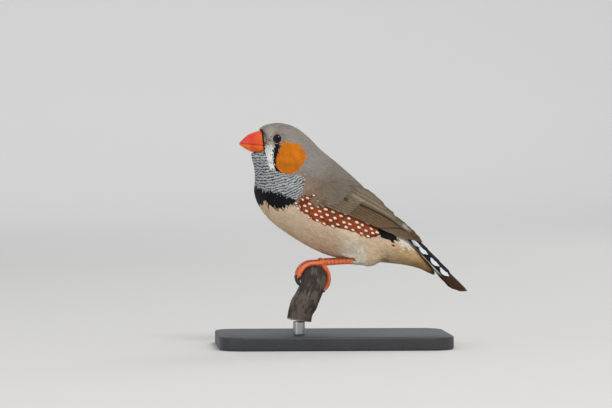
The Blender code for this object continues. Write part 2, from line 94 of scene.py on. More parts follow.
def add_node(tree, kind, *values, stops=None, **named):
    """A node; values and capitalised names fill its sockets or link to them, other names are settings."""
    made = tree.nodes.new("ShaderNode" + kind)
    inputs = values[0] if values and isinstance(values[0], dict) else dict(enumerate(values))
    for name, value in named.items():
        if name[0].isupper():
            inputs[name.replace("_", " ")] = value
        else:
            setattr(made, name, value)
    for socket, value in inputs.items():
        if isinstance(value, bpy.types.Node):
            value = value.outputs[0]
        if isinstance(value, bpy.types.NodeSocket):
            tree.links.new(value, made.inputs[socket])
        else:
            made.inputs[socket].default_value = value
    if stops:
        elements = made.color_ramp.elements
        while len(elements) < len(stops):
            elements.new(0.5)
        for element, (position, colour) in zip(elements, stops):
            element.position = position
            element.color = linear(colour)
    return made


def new_material(name, piece):
    """Puts a material without nodes on the piece, and gives the function that adds its nodes."""
    material = bpy.data.materials.new(name)
    material.use_nodes = True
    material.node_tree.nodes.clear()
    piece.data.materials.clear()
    piece.data.materials.append(material)
    return functools.partial(add_node, material.node_tree)


bpy.ops.object.select_all(action="DESELECT")
bpy.ops.mesh.primitive_circle_add(vertices=FLOOR_SIDES, radius=FLOOR_RADIUS, fill_type="TRIFAN")
floor = bpy.context.object
floor.name = "floor"
bpy.ops.object.mode_set(mode="EDIT")
bpy.ops.mesh.select_all(action="DESELECT")
bpy.ops.mesh.select_non_manifold()
for step in range(1, WALL_STEPS + 1):
    turn = math.pi / 2 * (step - 0.5) / WALL_STEPS
    reach = FLOOR_RADIUS + WALL_CURVE * math.sin(math.pi / 2 * (step - 1) / WALL_STEPS)
    beyond = FLOOR_RADIUS + WALL_CURVE * math.sin(math.pi / 2 * step / WALL_STEPS)
    rise = WALL_CURVE * math.pi / 2 / WALL_STEPS * math.sin(turn)
    bpy.ops.mesh.extrude_region_move(TRANSFORM_OT_translate={"value": (0, 0, rise)})
    bpy.ops.transform.resize(value=(beyond / reach, beyond / reach, 1), center_override=(0, 0, 0))
bpy.ops.mesh.extrude_region_move(TRANSFORM_OT_translate={"value": (0, 0, WALL_HEIGHT)})
bpy.ops.object.mode_set(mode="OBJECT")
bpy.ops.object.shade_smooth()
add = new_material("Matt paper", floor)
place = add("TexCoord").outputs["Object"]
fibre = add("TexNoise", Vector=place, Scale=1 / (PAPER_GRAIN * MM), Detail=4.0)
relief = add("Bump", Height=fibre, Strength=0.05, Distance=0.2 * MM)
add("OutputMaterial", Surface=add(
    "BsdfPrincipled", Base_Color=linear(FLOOR_COLOUR), Roughness=0.9, Normal=relief))

for name, spot, target, size, power, colour in LAMPS:
    spot = Vector(spot)
    turn = (Vector(target) - spot).to_track_quat("-Z", "Y").to_euler()
    bpy.ops.object.light_add(type="AREA", location=spot, rotation=turn)
    lamp = bpy.context.object
    lamp.name = name
    lamp.data.size = size
    lamp.data.energy = power
    lamp.data.color = linear(colour)[:3]

room = bpy.data.worlds.new("Pale room")
room.use_nodes = True
room.node_tree.nodes["Background"].inputs["Color"].default_value = linear(ROOM_COLOUR)
room.node_tree.nodes["Background"].inputs["Strength"].default_value = ROOM_STRENGTH
bpy.context.scene.world = room
bpy.context.scene.view_settings.view_transform = "Standard"

# Markings
# The pattern of the plumage, which the skin and every feather share. Places are millimetres along
# the bird and above the top of the twig, as the profile shows them from the camera.
NEAR_SHIFT = 0.07
NEAR_DROP = 0.026
BAR_SPACING = 1.05
CHEEK = ((-18.1, 45.4), (-16.7, 45.7), (-14.1, 45.2), (-12.2, 44.3), (-10.0, 42.2), (-9.6, 40.6),
         (-10.4, 38.9), (-11.1, 37.4), (-12.2, 35.9), (-13.3, 34.6), (-15.2, 33.9), (-17.4, 33.8),
         (-19.3, 34.5), (-20.6, 35.9), (-21.0, 38.0), (-20.7, 39.8), (-20.0, 42.0), (-19.3, 43.9))
WHITE_STRIPE = ((-25.3, 43.9), (-24.4, 44.8), (-22.6, 44.4), (-21.9, 42.8), (-22.1, 40.2),
                (-21.9, 38.0), (-21.1, 35.7), (-23.0, 35.6), (-23.9, 38.0), (-24.6, 40.6))
TEAR_STRIPE = ((-21.1, 44.8), (-19.1, 44.6), (-19.8, 42.8), (-20.4, 40.6), (-20.9, 38.0),
               (-20.4, 35.7), (-19.1, 34.1), (-20.7, 34.6), (-21.7, 36.5), (-22.3, 39.4), (-22.0, 42.8))
THROAT = ((-34.0, 43.2), (-28.1, 42.8), (-25.9, 41.8), (-24.5, 40.0), (-23.3, 36.1), (-21.1, 35.0),
          (-18.9, 33.7), (-15.2, 33.1), (-11.9, 33.7), (-10.6, 32.0), (-10.6, 29.4), (-11.5, 26.9),
          (-13.3, 24.6), (-15.6, 24.8), (-17.8, 26.1), (-21.5, 27.0), (-26.3, 28.0), (-34.0, 28.7))
BREAST_BAND = ((-34.0, 29.4), (-28.5, 29.4), (-26.3, 28.0), (-24.1, 27.2), (-21.5, 27.0),
               (-17.8, 26.1), (-15.6, 24.8), (-13.3, 24.3), (-14.8, 22.8), (-16.7, 22.2), (-18.1, 21.3),
               (-20.0, 20.9), (-22.6, 21.2), (-24.2, 21.7), (-25.1, 24.0), (-26.0, 22.6), (-27.4, 22.2),
               (-34.0, 22.6))
BREAST_SIDE = ((-12.2, 33.9), (-10.4, 34.6), (-8.9, 31.7), (-6.7, 29.1), (-6.3, 27.2), (-8.5, 25.6),
               (-10.7, 24.6), (-13.3, 22.8), (-15.2, 23.1), (-13.3, 25.7), (-11.1, 28.7))
FLANK = ((-13.7, 22.4), (-12.2, 24.3), (-10.4, 26.1), (-6.7, 25.7), (-2.2, 23.5), (0.7, 21.7),
         (4.4, 20.2), (8.1, 18.7), (11.9, 17.2), (15.6, 15.4), (18.9, 12.6), (16.3, 10.7), (13.7, 10.2),
         (11.1, 10.6), (9.3, 11.9), (7.0, 12.8), (4.4, 13.0), (0.7, 14.1), (-3.0, 15.3), (-6.7, 16.7),
         (-9.6, 18.9), (-11.9, 20.4))
UNDERPARTS = ((-36.0, 22.4), (-27.4, 22.2), (-25.1, 24.2), (-24.2, 21.7), (-20.0, 20.9),
              (-16.7, 22.2), (-13.7, 22.4), (-6.7, 18.5), (4.4, 15.0), (15.6, 12.8), (23.0, 11.4),
              (29.6, 8.0), (33.0, 3.6), (46.0, -14.0), (0.0, -14.0), (-36.0, 6.0))
RUMP_BLACK = ((16.6, 13.9), (20.4, 13.6), (24.3, 11.4), (25.0, 9.4), (22.6, 8.7), (19.2, 9.9), (16.9, 11.6))
RUMP_WHITE = ((22.6, 12.6), (26.3, 12.4), (30.4, 10.4), (30.8, 6.4), (27.8, 5.3), (24.8, 7.2))
BILL_EDGE = ((-26.4, 50.2), (-26.1, 48.7), (-25.8, 46.0), (-25.6, 43.5), (-25.2, 41.0))
EDGE_WIDTH = 0.42
EDGE_COLOUR = "1a1715"
# The cheek's tone varies at random, and is darker toward its bottom as painted shade.
CHEEK_CLOUD = 0.42
CHEEK_WARMTH = 0.26
CHEEK_SHADE_SLOPE = 0.02
CHEEK_MIDDLE = 40.0
BAR_CLIMB = 0.025
BAR_CLIMB_START = -25.0
BAR_CLIMB_RUN = 14.0
BARS_BELOW = 50.0
BLEND_SOFTNESS = 0.3
BLEND_POWER = 4.0
# Each mark lies over the ones before it.
MARKS = ((BREAST_SIDE, "8c7a68"), (THROAT, "b4babc"), (BREAST_BAND, "131416"), (WHITE_STRIPE, "eff0ec"),
         (TEAR_STRIPE, "121317"), (CHEEK, "cd7412"), (FLANK, "7d3509"), (RUMP_BLACK, "161413"),
         (RUMP_WHITE, "e2dccf"))
UPPER_COLOURS = (((-25.0, 2.0, 51.0), "958e87"), ((-18.0, 3.0, 53.2), "8e8880"),
                 ((-11.0, 4.0, 48.6), "8d877f"), ((-4.0, 4.0, 43.0), "87817a"),
                 ((-7.0, 10.0, 37.0), "8b8782"), ((3.0, 5.0, 37.0), "7c766d"),
                 ((12.0, 3.0, 28.5), "746d63"), ((22.0, 3.0, 17.5), "675f56"),
                 ((-1.0, 12.0, 31.0), "776d61"), ((-8.0, 13.0, 28.0), "806f5e"),
                 ((-25.0, 4.6, 46.0), "c3b6a8"), ((-23.6, 5.4, 44.5), "c6bdb3"),
                 ((-19.0, 7.0, 48.5), "968f88"), ((-17.0, 8.0, 46.0), "95908a"),
                 ((-9.0, 9.0, 41.0), "8c8986"), ((-20.0, 5.0, 51.5), "918a83"))
# The underparts are darker and browner than their cream feathers, partly painted shade of the underside,
# which faces down. The two near-white places on the thigh are partly a painted highlight where its tuft
# catches the light, and the two places behind them are darker as painted shade, so that the tuft stands out.
LOWER_COLOURS = (((-27.0, 3.0, 18.0), "e0c4a6"), ((-14.0, 13.0, 17.0), "e2c8ac"),
                 ((-18.0, 6.0, 11.0), "dcbe9d"), ((-4.0, 9.0, 8.0), "dbbd9d"),
                 ((6.0, 3.0, 2.6), "d3b28b"), ((14.0, 11.0, 10.0), "e0c7a9"),
                 ((18.0, 4.0, 4.0), "d4b893"), ((27.0, 4.0, 4.5), "c6a87b"),
                 ((34.0, 2.0, 0.0), "a78456"), ((38.0, 0.0, -3.4), "4a3826"),
                 ((8.9, 8.4, 5.2), "fff4de"), ((9.6, 8.6, 2.6), "fff4de"),
                 ((12.8, 9.2, 4.6), "dfc6a4"), ((16.0, 8.5, 4.0), "d8bc97"))


def side_view(points):
    """Where the camera sees each point, with both flanks folded onto the near one."""
    wide = np.abs(points[:, 1])
    return points[:, 0] + NEAR_SHIFT * wide, points[:, 2] - NEAR_DROP * wide


def within(outline, x, h):
    """Whether each place of the side view lies inside an outline."""
    inside = np.zeros(len(x), bool)
    for (x0, h0), (x1, h1) in zip(outline, outline[1:] + outline[:1]):
        if h0 != h1:
            crosses = (h0 > h) != (h1 > h)
            inside ^= crosses & (x < (x1 - x0) * (h - h0) / (h1 - h0) + x0)
    return inside


def near_line(line, x, h):
    """Distance of each place of the side view from a bent line."""
    best = np.full(len(x), np.inf)
    for (x0, h0), (x1, h1) in zip(line, line[1:]):
        run = (x1 - x0, h1 - h0)
        share = np.clip(((x - x0) * run[0] + (h - h0) * run[1]) / (run[0] ** 2 + run[1] ** 2), 0, 1)
        best = np.minimum(best, np.hypot(x - x0 - share * run[0], h - h0 - share * run[1]))
    return best


def folded(points):
    """Points of both flanks, laid on one of them."""
    return np.stack((points[:, 0], np.abs(points[:, 1]), points[:, 2]), axis=1)


def blended(anchors, points):
    """Values known at a few places of the body, blended by nearness."""
    places = np.array([place for place, _ in anchors])
    values = np.array([value for _, value in anchors])
    gaps = np.linalg.norm(folded(points)[:, None] - places[None], axis=2)
    weights = (gaps + BLEND_SOFTNESS) ** -BLEND_POWER
    return weights @ values / weights.sum(axis=1, keepdims=True)


def plumage(points, plain=False):
    """Linear colour of the plumage at each point; alpha is one where the throat is barred."""
    x, h = side_view(points)
    upper = [(place, linear(colour)[:3]) for place, colour in UPPER_COLOURS]
    lower = [(place, linear(colour)[:3]) for place, colour in LOWER_COLOURS]
    colours = np.zeros((len(points), 4))
    colours[:, :3] = blended(upper, points)
    if plain:
        return colours
    below = within(UNDERPARTS, x, h)
    colours[below, :3] = blended(lower, points[below])
    for outline, colour in MARKS:
        covered = within(outline, x, h)
        colours[covered, :3] = linear(colour)[:3]
        colours[covered, 3] = 1.0 if outline is THROAT else 0.0
    cheek = within(CHEEK, x, h)
    cheek_mottle_and_shade = [noise.noise(Vector((a * CHEEK_CLOUD, b * CHEEK_CLOUD, 3.0))) for a, b in zip(x[cheek], h[cheek])]
    # Random mottle, and painted shade that darkens the cheek toward its bottom.
    cheek_mottle_and_shade = 1.0 + CHEEK_WARMTH * np.array(cheek_mottle_and_shade) + CHEEK_SHADE_SLOPE * (h[cheek] - CHEEK_MIDDLE)
    colours[cheek, :3] *= cheek_mottle_and_shade[:, None]
    colours[near_line(BILL_EDGE, x, h) < EDGE_WIDTH] = (*linear(EDGE_COLOUR)[:3], 0.0)
    return colours


def bar_phase(points):
    """Count of throat bars below each point; the bars climb toward the back of the neck."""
    x, h = side_view(points)
    climb = BAR_CLIMB * np.clip(x - BAR_CLIMB_START, 0, BAR_CLIMB_RUN) ** 2
    return (h - climb) / BAR_SPACING + BARS_BELOW


# Skin
# The skin of head, neck, trunk, arms and thighs is one soft hide stretched over the muscle. It is
# seen only between feathers, so it carries their colours, darkened as painted shade between them,
# and lies half the depth of the coat below the coat's outer face.
VOXEL = 0.4
DEPTH_SHARE = 0.50
SKIN_SHADE = 0.9
SIDES = ((-1, "left"), (1, "right"))
FAR_SIDE = 40.0
BAR_COLOUR = "26282c"
FLESH = ("head", "neck", "torso", "thigh_left", "thigh_right")
WING_LOWER = ((-11.3, 25.6), (-6.7, 24.2), (-2.2, 22.6), (4.4, 20.0), (11.9, 16.9), (18.5, 14.4),
              (25.0, 12.2))
WING_UPPER = ((-10.3, 29.2), (-6.0, 31.4), (-0.5, 31.8), (6.3, 29.6), (13.4, 25.4), (19.3, 20.8),
              (26.0, 14.4))
MIDLINE_CLEARANCE = (2.6, 4.7)
CLEARANCE_START = 8
CLEARANCE_RUN = 18
WING_BLEND = 1.6
ARM_ROWS = 30
ARM_COLUMNS = 14
ARM_LIFT = 0.15
ARM_CREST = 0.65
ARM_DEPTH = 1.4
HIDE_SWELL = 0.22
HIDE_PASSES = 14
MANDIBLE = ((-35.5, 45.6), (-26.0, 45.2), (-25.8, 41.0), (-27.0, 41.3), (-28.9, 41.7), (-30.7, 42.4),
            (-32.6, 43.5))
THIGH_CREASE = (16.5, 7.0, 4.3)
THIGH_REACH = 8.5
THIGH_PASSES = 110
CHEEK_SWELL_X = (-28.6, -27.2, -26.0, -24.8, -23.4)
CHEEK_SWELL = (1.0, 1.22, 1.30, 1.2, 1.0)
FACE_X = (-30.3, -28.3, -27.2, -26.5, -26.0, -25.0, -24.0, -22.5, -21.0)
FACE_HALF_WIDTH = (1.9, 2.7, 3.2, 3.9, 4.4, 5.3, 6.2, 7.4, 9.5)
FACE_HEIGHTS = (38.6, 40.6, 50.4, 52.0)
FACE_EASE = (4.0, 0.0, 0.0, 4.0)
CHIN_X = (-34.6, -32.0, -28.25, -26.2)
CHIN_HALF_WIDTH = (0.2, 1.5, 2.5, 3.2)
AXIS = np.array(((-31.0, 45.0), (-28.0, 45.2), (-24.0, 43.4), (-21.0, 40.0), (-18.5, 36.0),
                 (-15.0, 31.5), (-10.5, 27.0), (-2.5, 20.5), (6.3, 14.3), (14.6, 9.5), (23.0, 6.0),
                 (29.6, 2.9), (34.2, 0.0), (39.0, -4.0)))
# Each row is a tract of feathers at one place: place, length, width, spacing, depth, lie.
TRACTS = (
    ("face", (-25.0, 4.6, 46.0), 0.95, 0.55, 0.36, 0.30, (1.0, 0.05)),
    ("face", (-25.0, 2.5, 51.0), 1.10, 0.60, 0.42, 0.35, (0.9, 0.45)),
    ("face", (-21.0, 6.0, 50.3), 0.95, 0.55, 0.38, 0.30, (1.0, 0.15)),
    ("face", (-21.5, 7.4, 43.8), 0.95, 0.55, 0.38, 0.30, (0.55, -0.8)),
    ("face", (-17.5, 8.0, 47.5), 1.20, 0.65, 0.44, 0.35, (1.0, -0.25)),
    ("face", (-28.5, 2.2, 40.3), 1.00, 0.60, 0.40, 0.35, (0.45, -0.9)),
    ("face", (-23.5, 6.3, 40.5), 1.15, 0.62, 0.42, 0.35, (0.4, -0.92)),
    ("crown", (-18.0, 3.0, 53.0), 1.70, 0.85, 0.56, 0.45, (1.0, 0.0)),
    ("crown", (-11.0, 4.0, 48.8), 2.10, 1.05, 0.66, 0.55, (0.82, -0.57)),
    ("cheek", (-15.0, 9.0, 40.0), 1.70, 0.80, 0.50, 0.45, (0.75, -0.66)),
    ("cheek", (-17.0, 9.5, 36.0), 1.60, 0.80, 0.50, 0.45, (0.6, -0.8)),
    ("nape", (-4.0, 4.0, 43.0), 2.60, 1.35, 0.84, 0.65, (0.75, -0.66)),
    ("nape", (-7.0, 10.0, 37.0), 2.40, 1.25, 0.78, 0.65, (0.72, -0.69)),
    ("throat", (-28.5, 2.0, 35.0), 1.60, 0.95, 0.60, 0.50, (0.1, -1.0)),
    ("throat", (-20.0, 10.0, 31.0), 1.90, 1.05, 0.66, 0.55, (0.5, -0.87)),
    ("throat", (-12.0, 12.0, 30.0), 2.10, 1.15, 0.72, 0.60, (0.7, -0.7)),
    ("breast", (-29.0, 4.0, 25.0), 2.10, 1.20, 0.76, 0.60, (0.2, -0.98)),
    ("breast", (-19.0, 12.0, 23.5), 2.20, 1.20, 0.76, 0.60, (0.6, -0.8)),
    ("breast", (-26.0, 4.0, 17.5), 2.80, 1.60, 1.00, 0.80, (0.5, -0.87)),
    ("belly", (-14.0, 13.0, 17.0), 3.20, 1.70, 1.05, 0.85, (0.8, -0.6)),
    ("belly", (-18.0, 6.0, 11.0), 3.40, 1.80, 1.15, 0.90, (0.75, -0.65)),
    ("belly", (-4.0, 8.0, 7.0), 3.80, 2.00, 1.25, 0.95, (0.92, -0.38)),
    ("belly", (6.0, 3.0, 2.6), 3.80, 2.00, 1.25, 0.95, (0.97, -0.2)),
    ("belly", (15.0, 10.0, 8.5), 3.60, 1.80, 1.15, 0.90, (0.95, -0.3)),
    ("vent", (16.0, 4.0, 3.5), 3.60, 1.80, 1.15, 0.90, (0.98, -0.15)),
    ("vent", (26.0, 4.0, 4.0), 4.20, 1.90, 1.20, 0.85, (0.86, -0.5)),
    ("vent", (34.5, 2.0, 0.0), 3.80, 1.60, 1.00, 0.55, (0.73, -0.68)),
    ("flank", (-9.0, 14.0, 21.0), 3.00, 1.50, 0.95, 0.80, (0.88, -0.47)),
    ("flank", (3.0, 14.5, 17.5), 3.20, 1.60, 1.00, 0.80, (0.92, -0.4)),
    ("flank", (14.0, 12.0, 12.5), 3.20, 1.60, 1.00, 0.80, (0.92, -0.4)),
    ("back", (3.0, 5.0, 37.0), 3.00, 1.60, 1.00, 0.75, (0.74, -0.67)),
    ("back", (12.0, 3.0, 28.5), 3.40, 1.75, 1.10, 0.80, (0.75, -0.66)),
    ("back", (0.0, 12.0, 32.0), 2.80, 1.50, 0.92, 0.75, (0.78, -0.62)),
    ("back", (22.0, 3.0, 17.5), 3.60, 1.80, 1.10, 0.80, (0.74, -0.67)),
    ("shoulder", (-8.0, 13.0, 28.0), 2.00, 1.15, 0.70, 0.60, (0.86, -0.5)),
    ("shoulder", (0.0, 14.5, 26.5), 2.30, 1.30, 0.80, 0.60, (0.88, -0.47)),
    ("thigh", (14.0, 8.6, 3.5), 2.80, 1.30, 0.80, 0.60, (0.75, -0.65)),
    ("thigh", (10.5, 8.0, 3.6), 2.20, 0.95, 0.62, 0.45, (-0.3, -0.92)),
    ("thigh", (8.6, 6.6, 1.6), 1.90, 0.75, 0.50, 0.35, (-0.95, -0.3)))


def in_world(points):
    """Points in millimetres from the top of the twig, in metres in the scene."""
    return np.asarray(points, float) * MM + (0, 0, PERCH_TOP)


def to_mm(place):
    """Places in the scene, in millimetres from the top of the twig."""
    return (np.array(place) - (0, 0, PERCH_TOP)) / MM


def vectors_of(piece, kind="co"):
    """Places (co) or normals of the corner points of a piece, as they are in the scene."""
    flat = np.empty(len(piece.data.vertices) * 3, np.float32)
    piece.data.vertices.foreach_get(kind, flat)
    return flat.reshape(-1, 3).astype(float)


def put_points(piece, points):
    """Moves the corner points of a piece to places in millimetres from the top of the twig."""
    piece.data.vertices.foreach_set("co", in_world(points).astype(np.float32).ravel())
    piece.data.update()


def select_only(piece):
    bpy.ops.object.select_all(action="DESELECT")
    piece.select_set(True)
    bpy.context.view_layer.objects.active = piece


def edit_whole(piece, operation, **settings):
    """Runs an operation of edit mode on the whole mesh of a piece."""
    select_only(piece)
    bpy.ops.object.mode_set(mode="EDIT")
    bpy.ops.mesh.select_all(action="SELECT")
    operation(**settings)
    bpy.ops.object.mode_set(mode="OBJECT")


def welded_copy(name, nodes):
    """One mesh from copies of some nodes of the frame, with their loose triangles joined."""
    bpy.ops.object.select_all(action="DESELECT")
    for node in nodes:
        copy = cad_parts[node].copy()
        copy.data = copy.data.copy()
        copy.parent = None
        bpy.context.collection.objects.link(copy)
        copy.hide_render = False
        copy.select_set(True)
        bpy.context.view_layer.objects.active = copy
    if len(nodes) > 1:
        bpy.ops.object.join()
    piece = bpy.context.object
    piece.name = name
    piece.data.name = name
    piece.data.materials.clear()
    edit_whole(piece, bpy.ops.mesh.remove_doubles, threshold=0.01 * MM)
    return piece


def with_modifier(piece, kind, **settings):
    """Adds a modifier with its settings and applies it."""
    select_only(piece)
    bpy.ops.object.modifier_add(type=kind)
    modifier = piece.modifiers[-1]
    for name, value in settings.items():
        setattr(modifier, name, value)
    bpy.ops.object.modifier_apply(modifier=modifier.name)


def search_tree(piece):
    """A tree that finds places on a piece, which then leaves the scene."""
    tree = BVHTree.FromObject(piece, bpy.context.evaluated_depsgraph_get())
    bpy.data.objects.remove(piece)
    return tree


def mesh_piece(name, points, faces):
    """A piece from points in millimetres and rows of four corners."""
    mesh = bpy.data.meshes.new(name)
    mesh.vertices.add(len(points))
    mesh.vertices.foreach_set("co", in_world(points).astype(np.float32).ravel())
    mesh.loops.add(faces.size)
    mesh.loops.foreach_set("vertex_index", faces.astype(np.int32).ravel())
    mesh.polygons.add(len(faces))
    mesh.polygons.foreach_set("loop_start", np.arange(0, faces.size, faces.shape[1], dtype=np.int32))
    mesh.update(calc_edges=True)
    mesh.validate()
    piece = bpy.data.objects.new(name, mesh)
    bpy.context.collection.objects.link(piece)
    return piece


def corner_map(piece, name, places):
    """A UV map from one place for each point of the mesh."""
    layer = piece.data.uv_layers.new(name=name)
    corners = np.empty(len(piece.data.loops), np.int32)
    piece.data.loops.foreach_get("vertex_index", corners)
    layer.data.foreach_set("uv", places[corners].astype(np.float32).ravel())


def point_values(piece, name, values):
    """A named value, or colour, for each point of the mesh."""
    if values.ndim == 1:
        layer = piece.data.attributes.new(name, "FLOAT", "POINT")
        layer.data.foreach_set("value", values.astype(np.float32))
    else:
        layer = piece.data.color_attributes.new(name, "FLOAT_COLOR", "POINT")
        layer.data.foreach_set("color", values.astype(np.float32).ravel())


def beside(line, points):
    """For each point its way along a bent line, offset from it and nearest run; also the line's length."""
    runs = line[1:] - line[:-1]
    lengths = np.linalg.norm(runs, axis=1)
    off = points[:, None] - line[None, :-1]
    share = np.clip((off * runs).sum(axis=2) / lengths ** 2, 0, 1)
    off = off - share[:, :, None] * runs
    best = np.linalg.norm(off, axis=2).argmin(axis=1)
    row = np.arange(len(points))
    along = np.concatenate(((0,), np.cumsum(lengths)))[best] + share[row, best] * lengths[best]
    return along, off[row, best], runs[best], lengths.sum()


def unwrapped(points):
    """Shares of the way along and round the body, from the line that runs through its middle."""
    along, off, run, length = beside(AXIS, points[:, (0, 2)])
    rise = (off * run[:, ::-1] * (-1, 1)).sum(axis=1) / np.linalg.norm(run, axis=1)
    around = np.arctan2(points[:, 1], rise) / math.tau + 0.5
    return np.stack((along / length, around), axis=1)


def grid_faces(rows, columns, first=0, flip=False):
    """Rows of four corners for a sheet of points, row by row."""
    i, j = np.meshgrid(np.arange(rows), np.arange(columns), indexing="ij")
    a = (first + i * (columns + 1) + j).ravel()
    faces = np.stack((a, a + columns + 1, a + columns + 2, a + 1), axis=1)
    return faces[:, ::-1] if flip else faces


trunk_tree = search_tree(welded_copy("trunk", ("neck", "torso")))
WING_GRID_X = np.arange(-16.0, 40.0, 1.0)
WING_GRID_H = np.arange(2.0, 40.0, 1.0)


def trunk_half_width(x, h):
    start = Vector(in_world((x, -FAR_SIDE, h)))
    hit = trunk_tree.ray_cast(start, Vector((0, 1, 0)))[0]
    return -hit.y / MM if hit and hit.y < 0 else 0.0


wing_grid = np.array([[trunk_half_width(x, h) for h in WING_GRID_H] for x in WING_GRID_X])
clearance = MIDLINE_CLEARANCE[0] + (MIDLINE_CLEARANCE[1] - MIDLINE_CLEARANCE[0]) * np.clip(
    (WING_GRID_X[:, None] - CLEARANCE_START) / CLEARANCE_RUN, 0, 1)
wing_grid = 0.5 * (wing_grid + clearance + np.hypot(wing_grid - clearance, WING_BLEND))
for _ in range(3):
    padded = np.pad(wing_grid, 1, mode="edge")
    wing_grid = (padded[:-2, 1:-1] + padded[2:, 1:-1] + padded[1:-1, :-2] + padded[1:-1, 2:]
                 + 4 * padded[1:-1, 1:-1]) / 8


def wing_depth(x, h):
    """Distance from the middle of the body to the inner face of the folded wing."""
    a = np.clip(x - WING_GRID_X[0], 0, len(WING_GRID_X) - 1.001)
    b = np.clip(h - WING_GRID_H[0], 0, len(WING_GRID_H) - 1.001)
    i, j = a.astype(int), b.astype(int)
    s, t = a - i, b - j
    return ((1 - s) * (1 - t) * wing_grid[i, j] + s * (1 - t) * wing_grid[i + 1, j]
            + (1 - s) * t * wing_grid[i, j + 1] + s * t * wing_grid[i + 1, j + 1])


def wing_surface(x, h, lift, side):
    """Points that lie lift above the inner face of the wing at places of the side view."""
    step = 0.6
    y = wing_depth(x, h)
    slope_x = (wing_depth(x + step, h) - wing_depth(x - step, h)) / (2 * step)
    slope_h = (wing_depth(x, h + step) - wing_depth(x, h - step)) / (2 * step)
    outward = np.stack((-slope_x, np.ones_like(y), -slope_h), axis=-1)
    outward /= np.linalg.norm(outward, axis=-1, keepdims=True)
    spot = np.stack((x, y, h), axis=-1) + outward * np.asarray(lift)[..., None]
    return spot * (1, side, 1)


def wing_arm(side):
    """The arm and hand under the coverts, as a closed thin shell."""
    rows, columns = ARM_ROWS, ARM_COLUMNS
    t = np.linspace(0, 1, rows + 1)[:, None]
    u = np.linspace(-1, 1, columns + 1)[None]
    stations = np.linspace(0, 1, len(WING_LOWER))
    low = [np.interp(t, stations, [p[k] for p in WING_LOWER]) for k in (0, 1)]
    high = [np.interp(t, stations, [p[k] for p in WING_UPPER]) for k in (0, 1)]
    share = (u + 1) / 2
    x = low[0] + (high[0] - low[0]) * share
    h = low[1] + (high[1] - low[1]) * share
    crown = (1 - u ** 2) * (1 - t) ** 0.7
    outer = wing_surface(x, h, ARM_LIFT + ARM_CREST * crown, side).reshape(-1, 3)
    inner = wing_surface(x, h, np.full_like(crown, -ARM_DEPTH), side).reshape(-1, 3)
    count = len(outer)
    faces = [grid_faces(rows, columns, 0, side < 0), grid_faces(rows, columns, count, side > 0)]
    rim = list(range(columns + 1))
    rim += [(i + 1) * (columns + 1) - 1 for i in range(1, rows + 1)]
    rim += [rows * (columns + 1) + i for i in range(columns - 1, -1, -1)]
    rim += [i * (columns + 1) for i in range(rows - 1, 0, -1)]
    rim = np.array(rim)
    beyond = np.roll(rim, -1)
    faces.append(np.stack((rim, beyond, beyond + count, rim + count), axis=1))
    return mesh_piece("arm", np.concatenate((outer, inner)), np.concatenate(faces))


def hide_over(name, nodes):
    """One closed surface over some nodes and both arms, smoother where the thighs join the belly."""
    hide = welded_copy(name, nodes)
    with_modifier(hide, "DISPLACE", strength=HIDE_SWELL * MM, mid_level=0.0)
    arms = [wing_arm(side) for side, _ in SIDES]
    for arm in arms:
        edit_whole(arm, bpy.ops.mesh.normals_make_consistent, inside=False)
    select_only(hide)
    for arm in arms:
        arm.select_set(True)
    bpy.ops.object.join()
    with_modifier(hide, "REMESH", mode="VOXEL", voxel_size=VOXEL * MM)
    points = to_mm(vectors_of(hide))
    points[:, 1] *= np.interp(points[:, 0], CHEEK_SWELL_X, CHEEK_SWELL)
    widest = np.interp(points[:, 0], FACE_X, FACE_HALF_WIDTH)
    widest += np.interp(points[:, 2], FACE_HEIGHTS, FACE_EASE)
    in_face = points[:, 0] < FACE_X[-1]
    points[in_face, 1] = np.clip(points[:, 1], -widest, widest)[in_face]
    put_points(hide, points)
    with_modifier(hide, "SMOOTH", factor=0.6, iterations=HIDE_PASSES)
    points = to_mm(vectors_of(hide))
    off = np.linalg.norm(folded(points) - THIGH_CREASE, axis=1)
    group = hide.vertex_groups.new(name="crease")
    for number in np.flatnonzero(off < THIGH_REACH):
        group.add([int(number)], min(1.0, 2 * (1 - off[number] / THIGH_REACH)), "REPLACE")
    with_modifier(hide, "SMOOTH", factor=0.8, iterations=THIGH_PASSES, vertex_group="crease")
    hide.vertex_groups.clear()
    return hide


outer_tree = search_tree(hide_over("guide", FLESH + ("eye_left", "eye_right")))
flesh = hide_over("skin", FLESH)
skin_outer, skin_normals = to_mm(vectors_of(flesh)), vectors_of(flesh, "normal")
sizes = [(place, (length, width, spacing, depth)) for _, place, length, width, spacing, depth, _ in TRACTS]
skin_depth = blended(sizes, skin_outer)[:, 3] * DEPTH_SHARE
skin_points = skin_outer - skin_normals * skin_depth[:, None]
by_mandible = within(MANDIBLE, *side_view(skin_outer)) & (skin_outer[:, 0] < CHIN_X[-1])
chin_half = np.interp(skin_points[:, 0], CHIN_X, CHIN_HALF_WIDTH)
skin_points[by_mandible, 1] = np.clip(skin_points[:, 1], -chin_half, chin_half)[by_mandible]
put_points(flesh, skin_points)
select_only(flesh)
bpy.ops.object.shade_smooth()
skin_colours = plumage(skin_outer)
# Painted shade between the feathers.
skin_colours[:, :3] *= SKIN_SHADE
point_values(flesh, "plumage", skin_colours)
point_values(flesh, "bars", bar_phase(skin_outer))

places = unwrapped(skin_points)
layer = flesh.data.uv_layers.new(name="OFBake")
corners = np.empty(len(flesh.data.loops), np.int32)
flesh.data.loops.foreach_get("vertex_index", corners)
corner_places = places[corners].reshape(-1, 4, 2)
wrapped = np.ptp(corner_places[:, :, 1], axis=1) > 0.5
around = corner_places[wrapped, :, 1]
corner_places[wrapped, :, 1] = np.where(around < 0.5, 1.0, around)
layer.data.foreach_set("uv", corner_places.astype(np.float32).ravel())


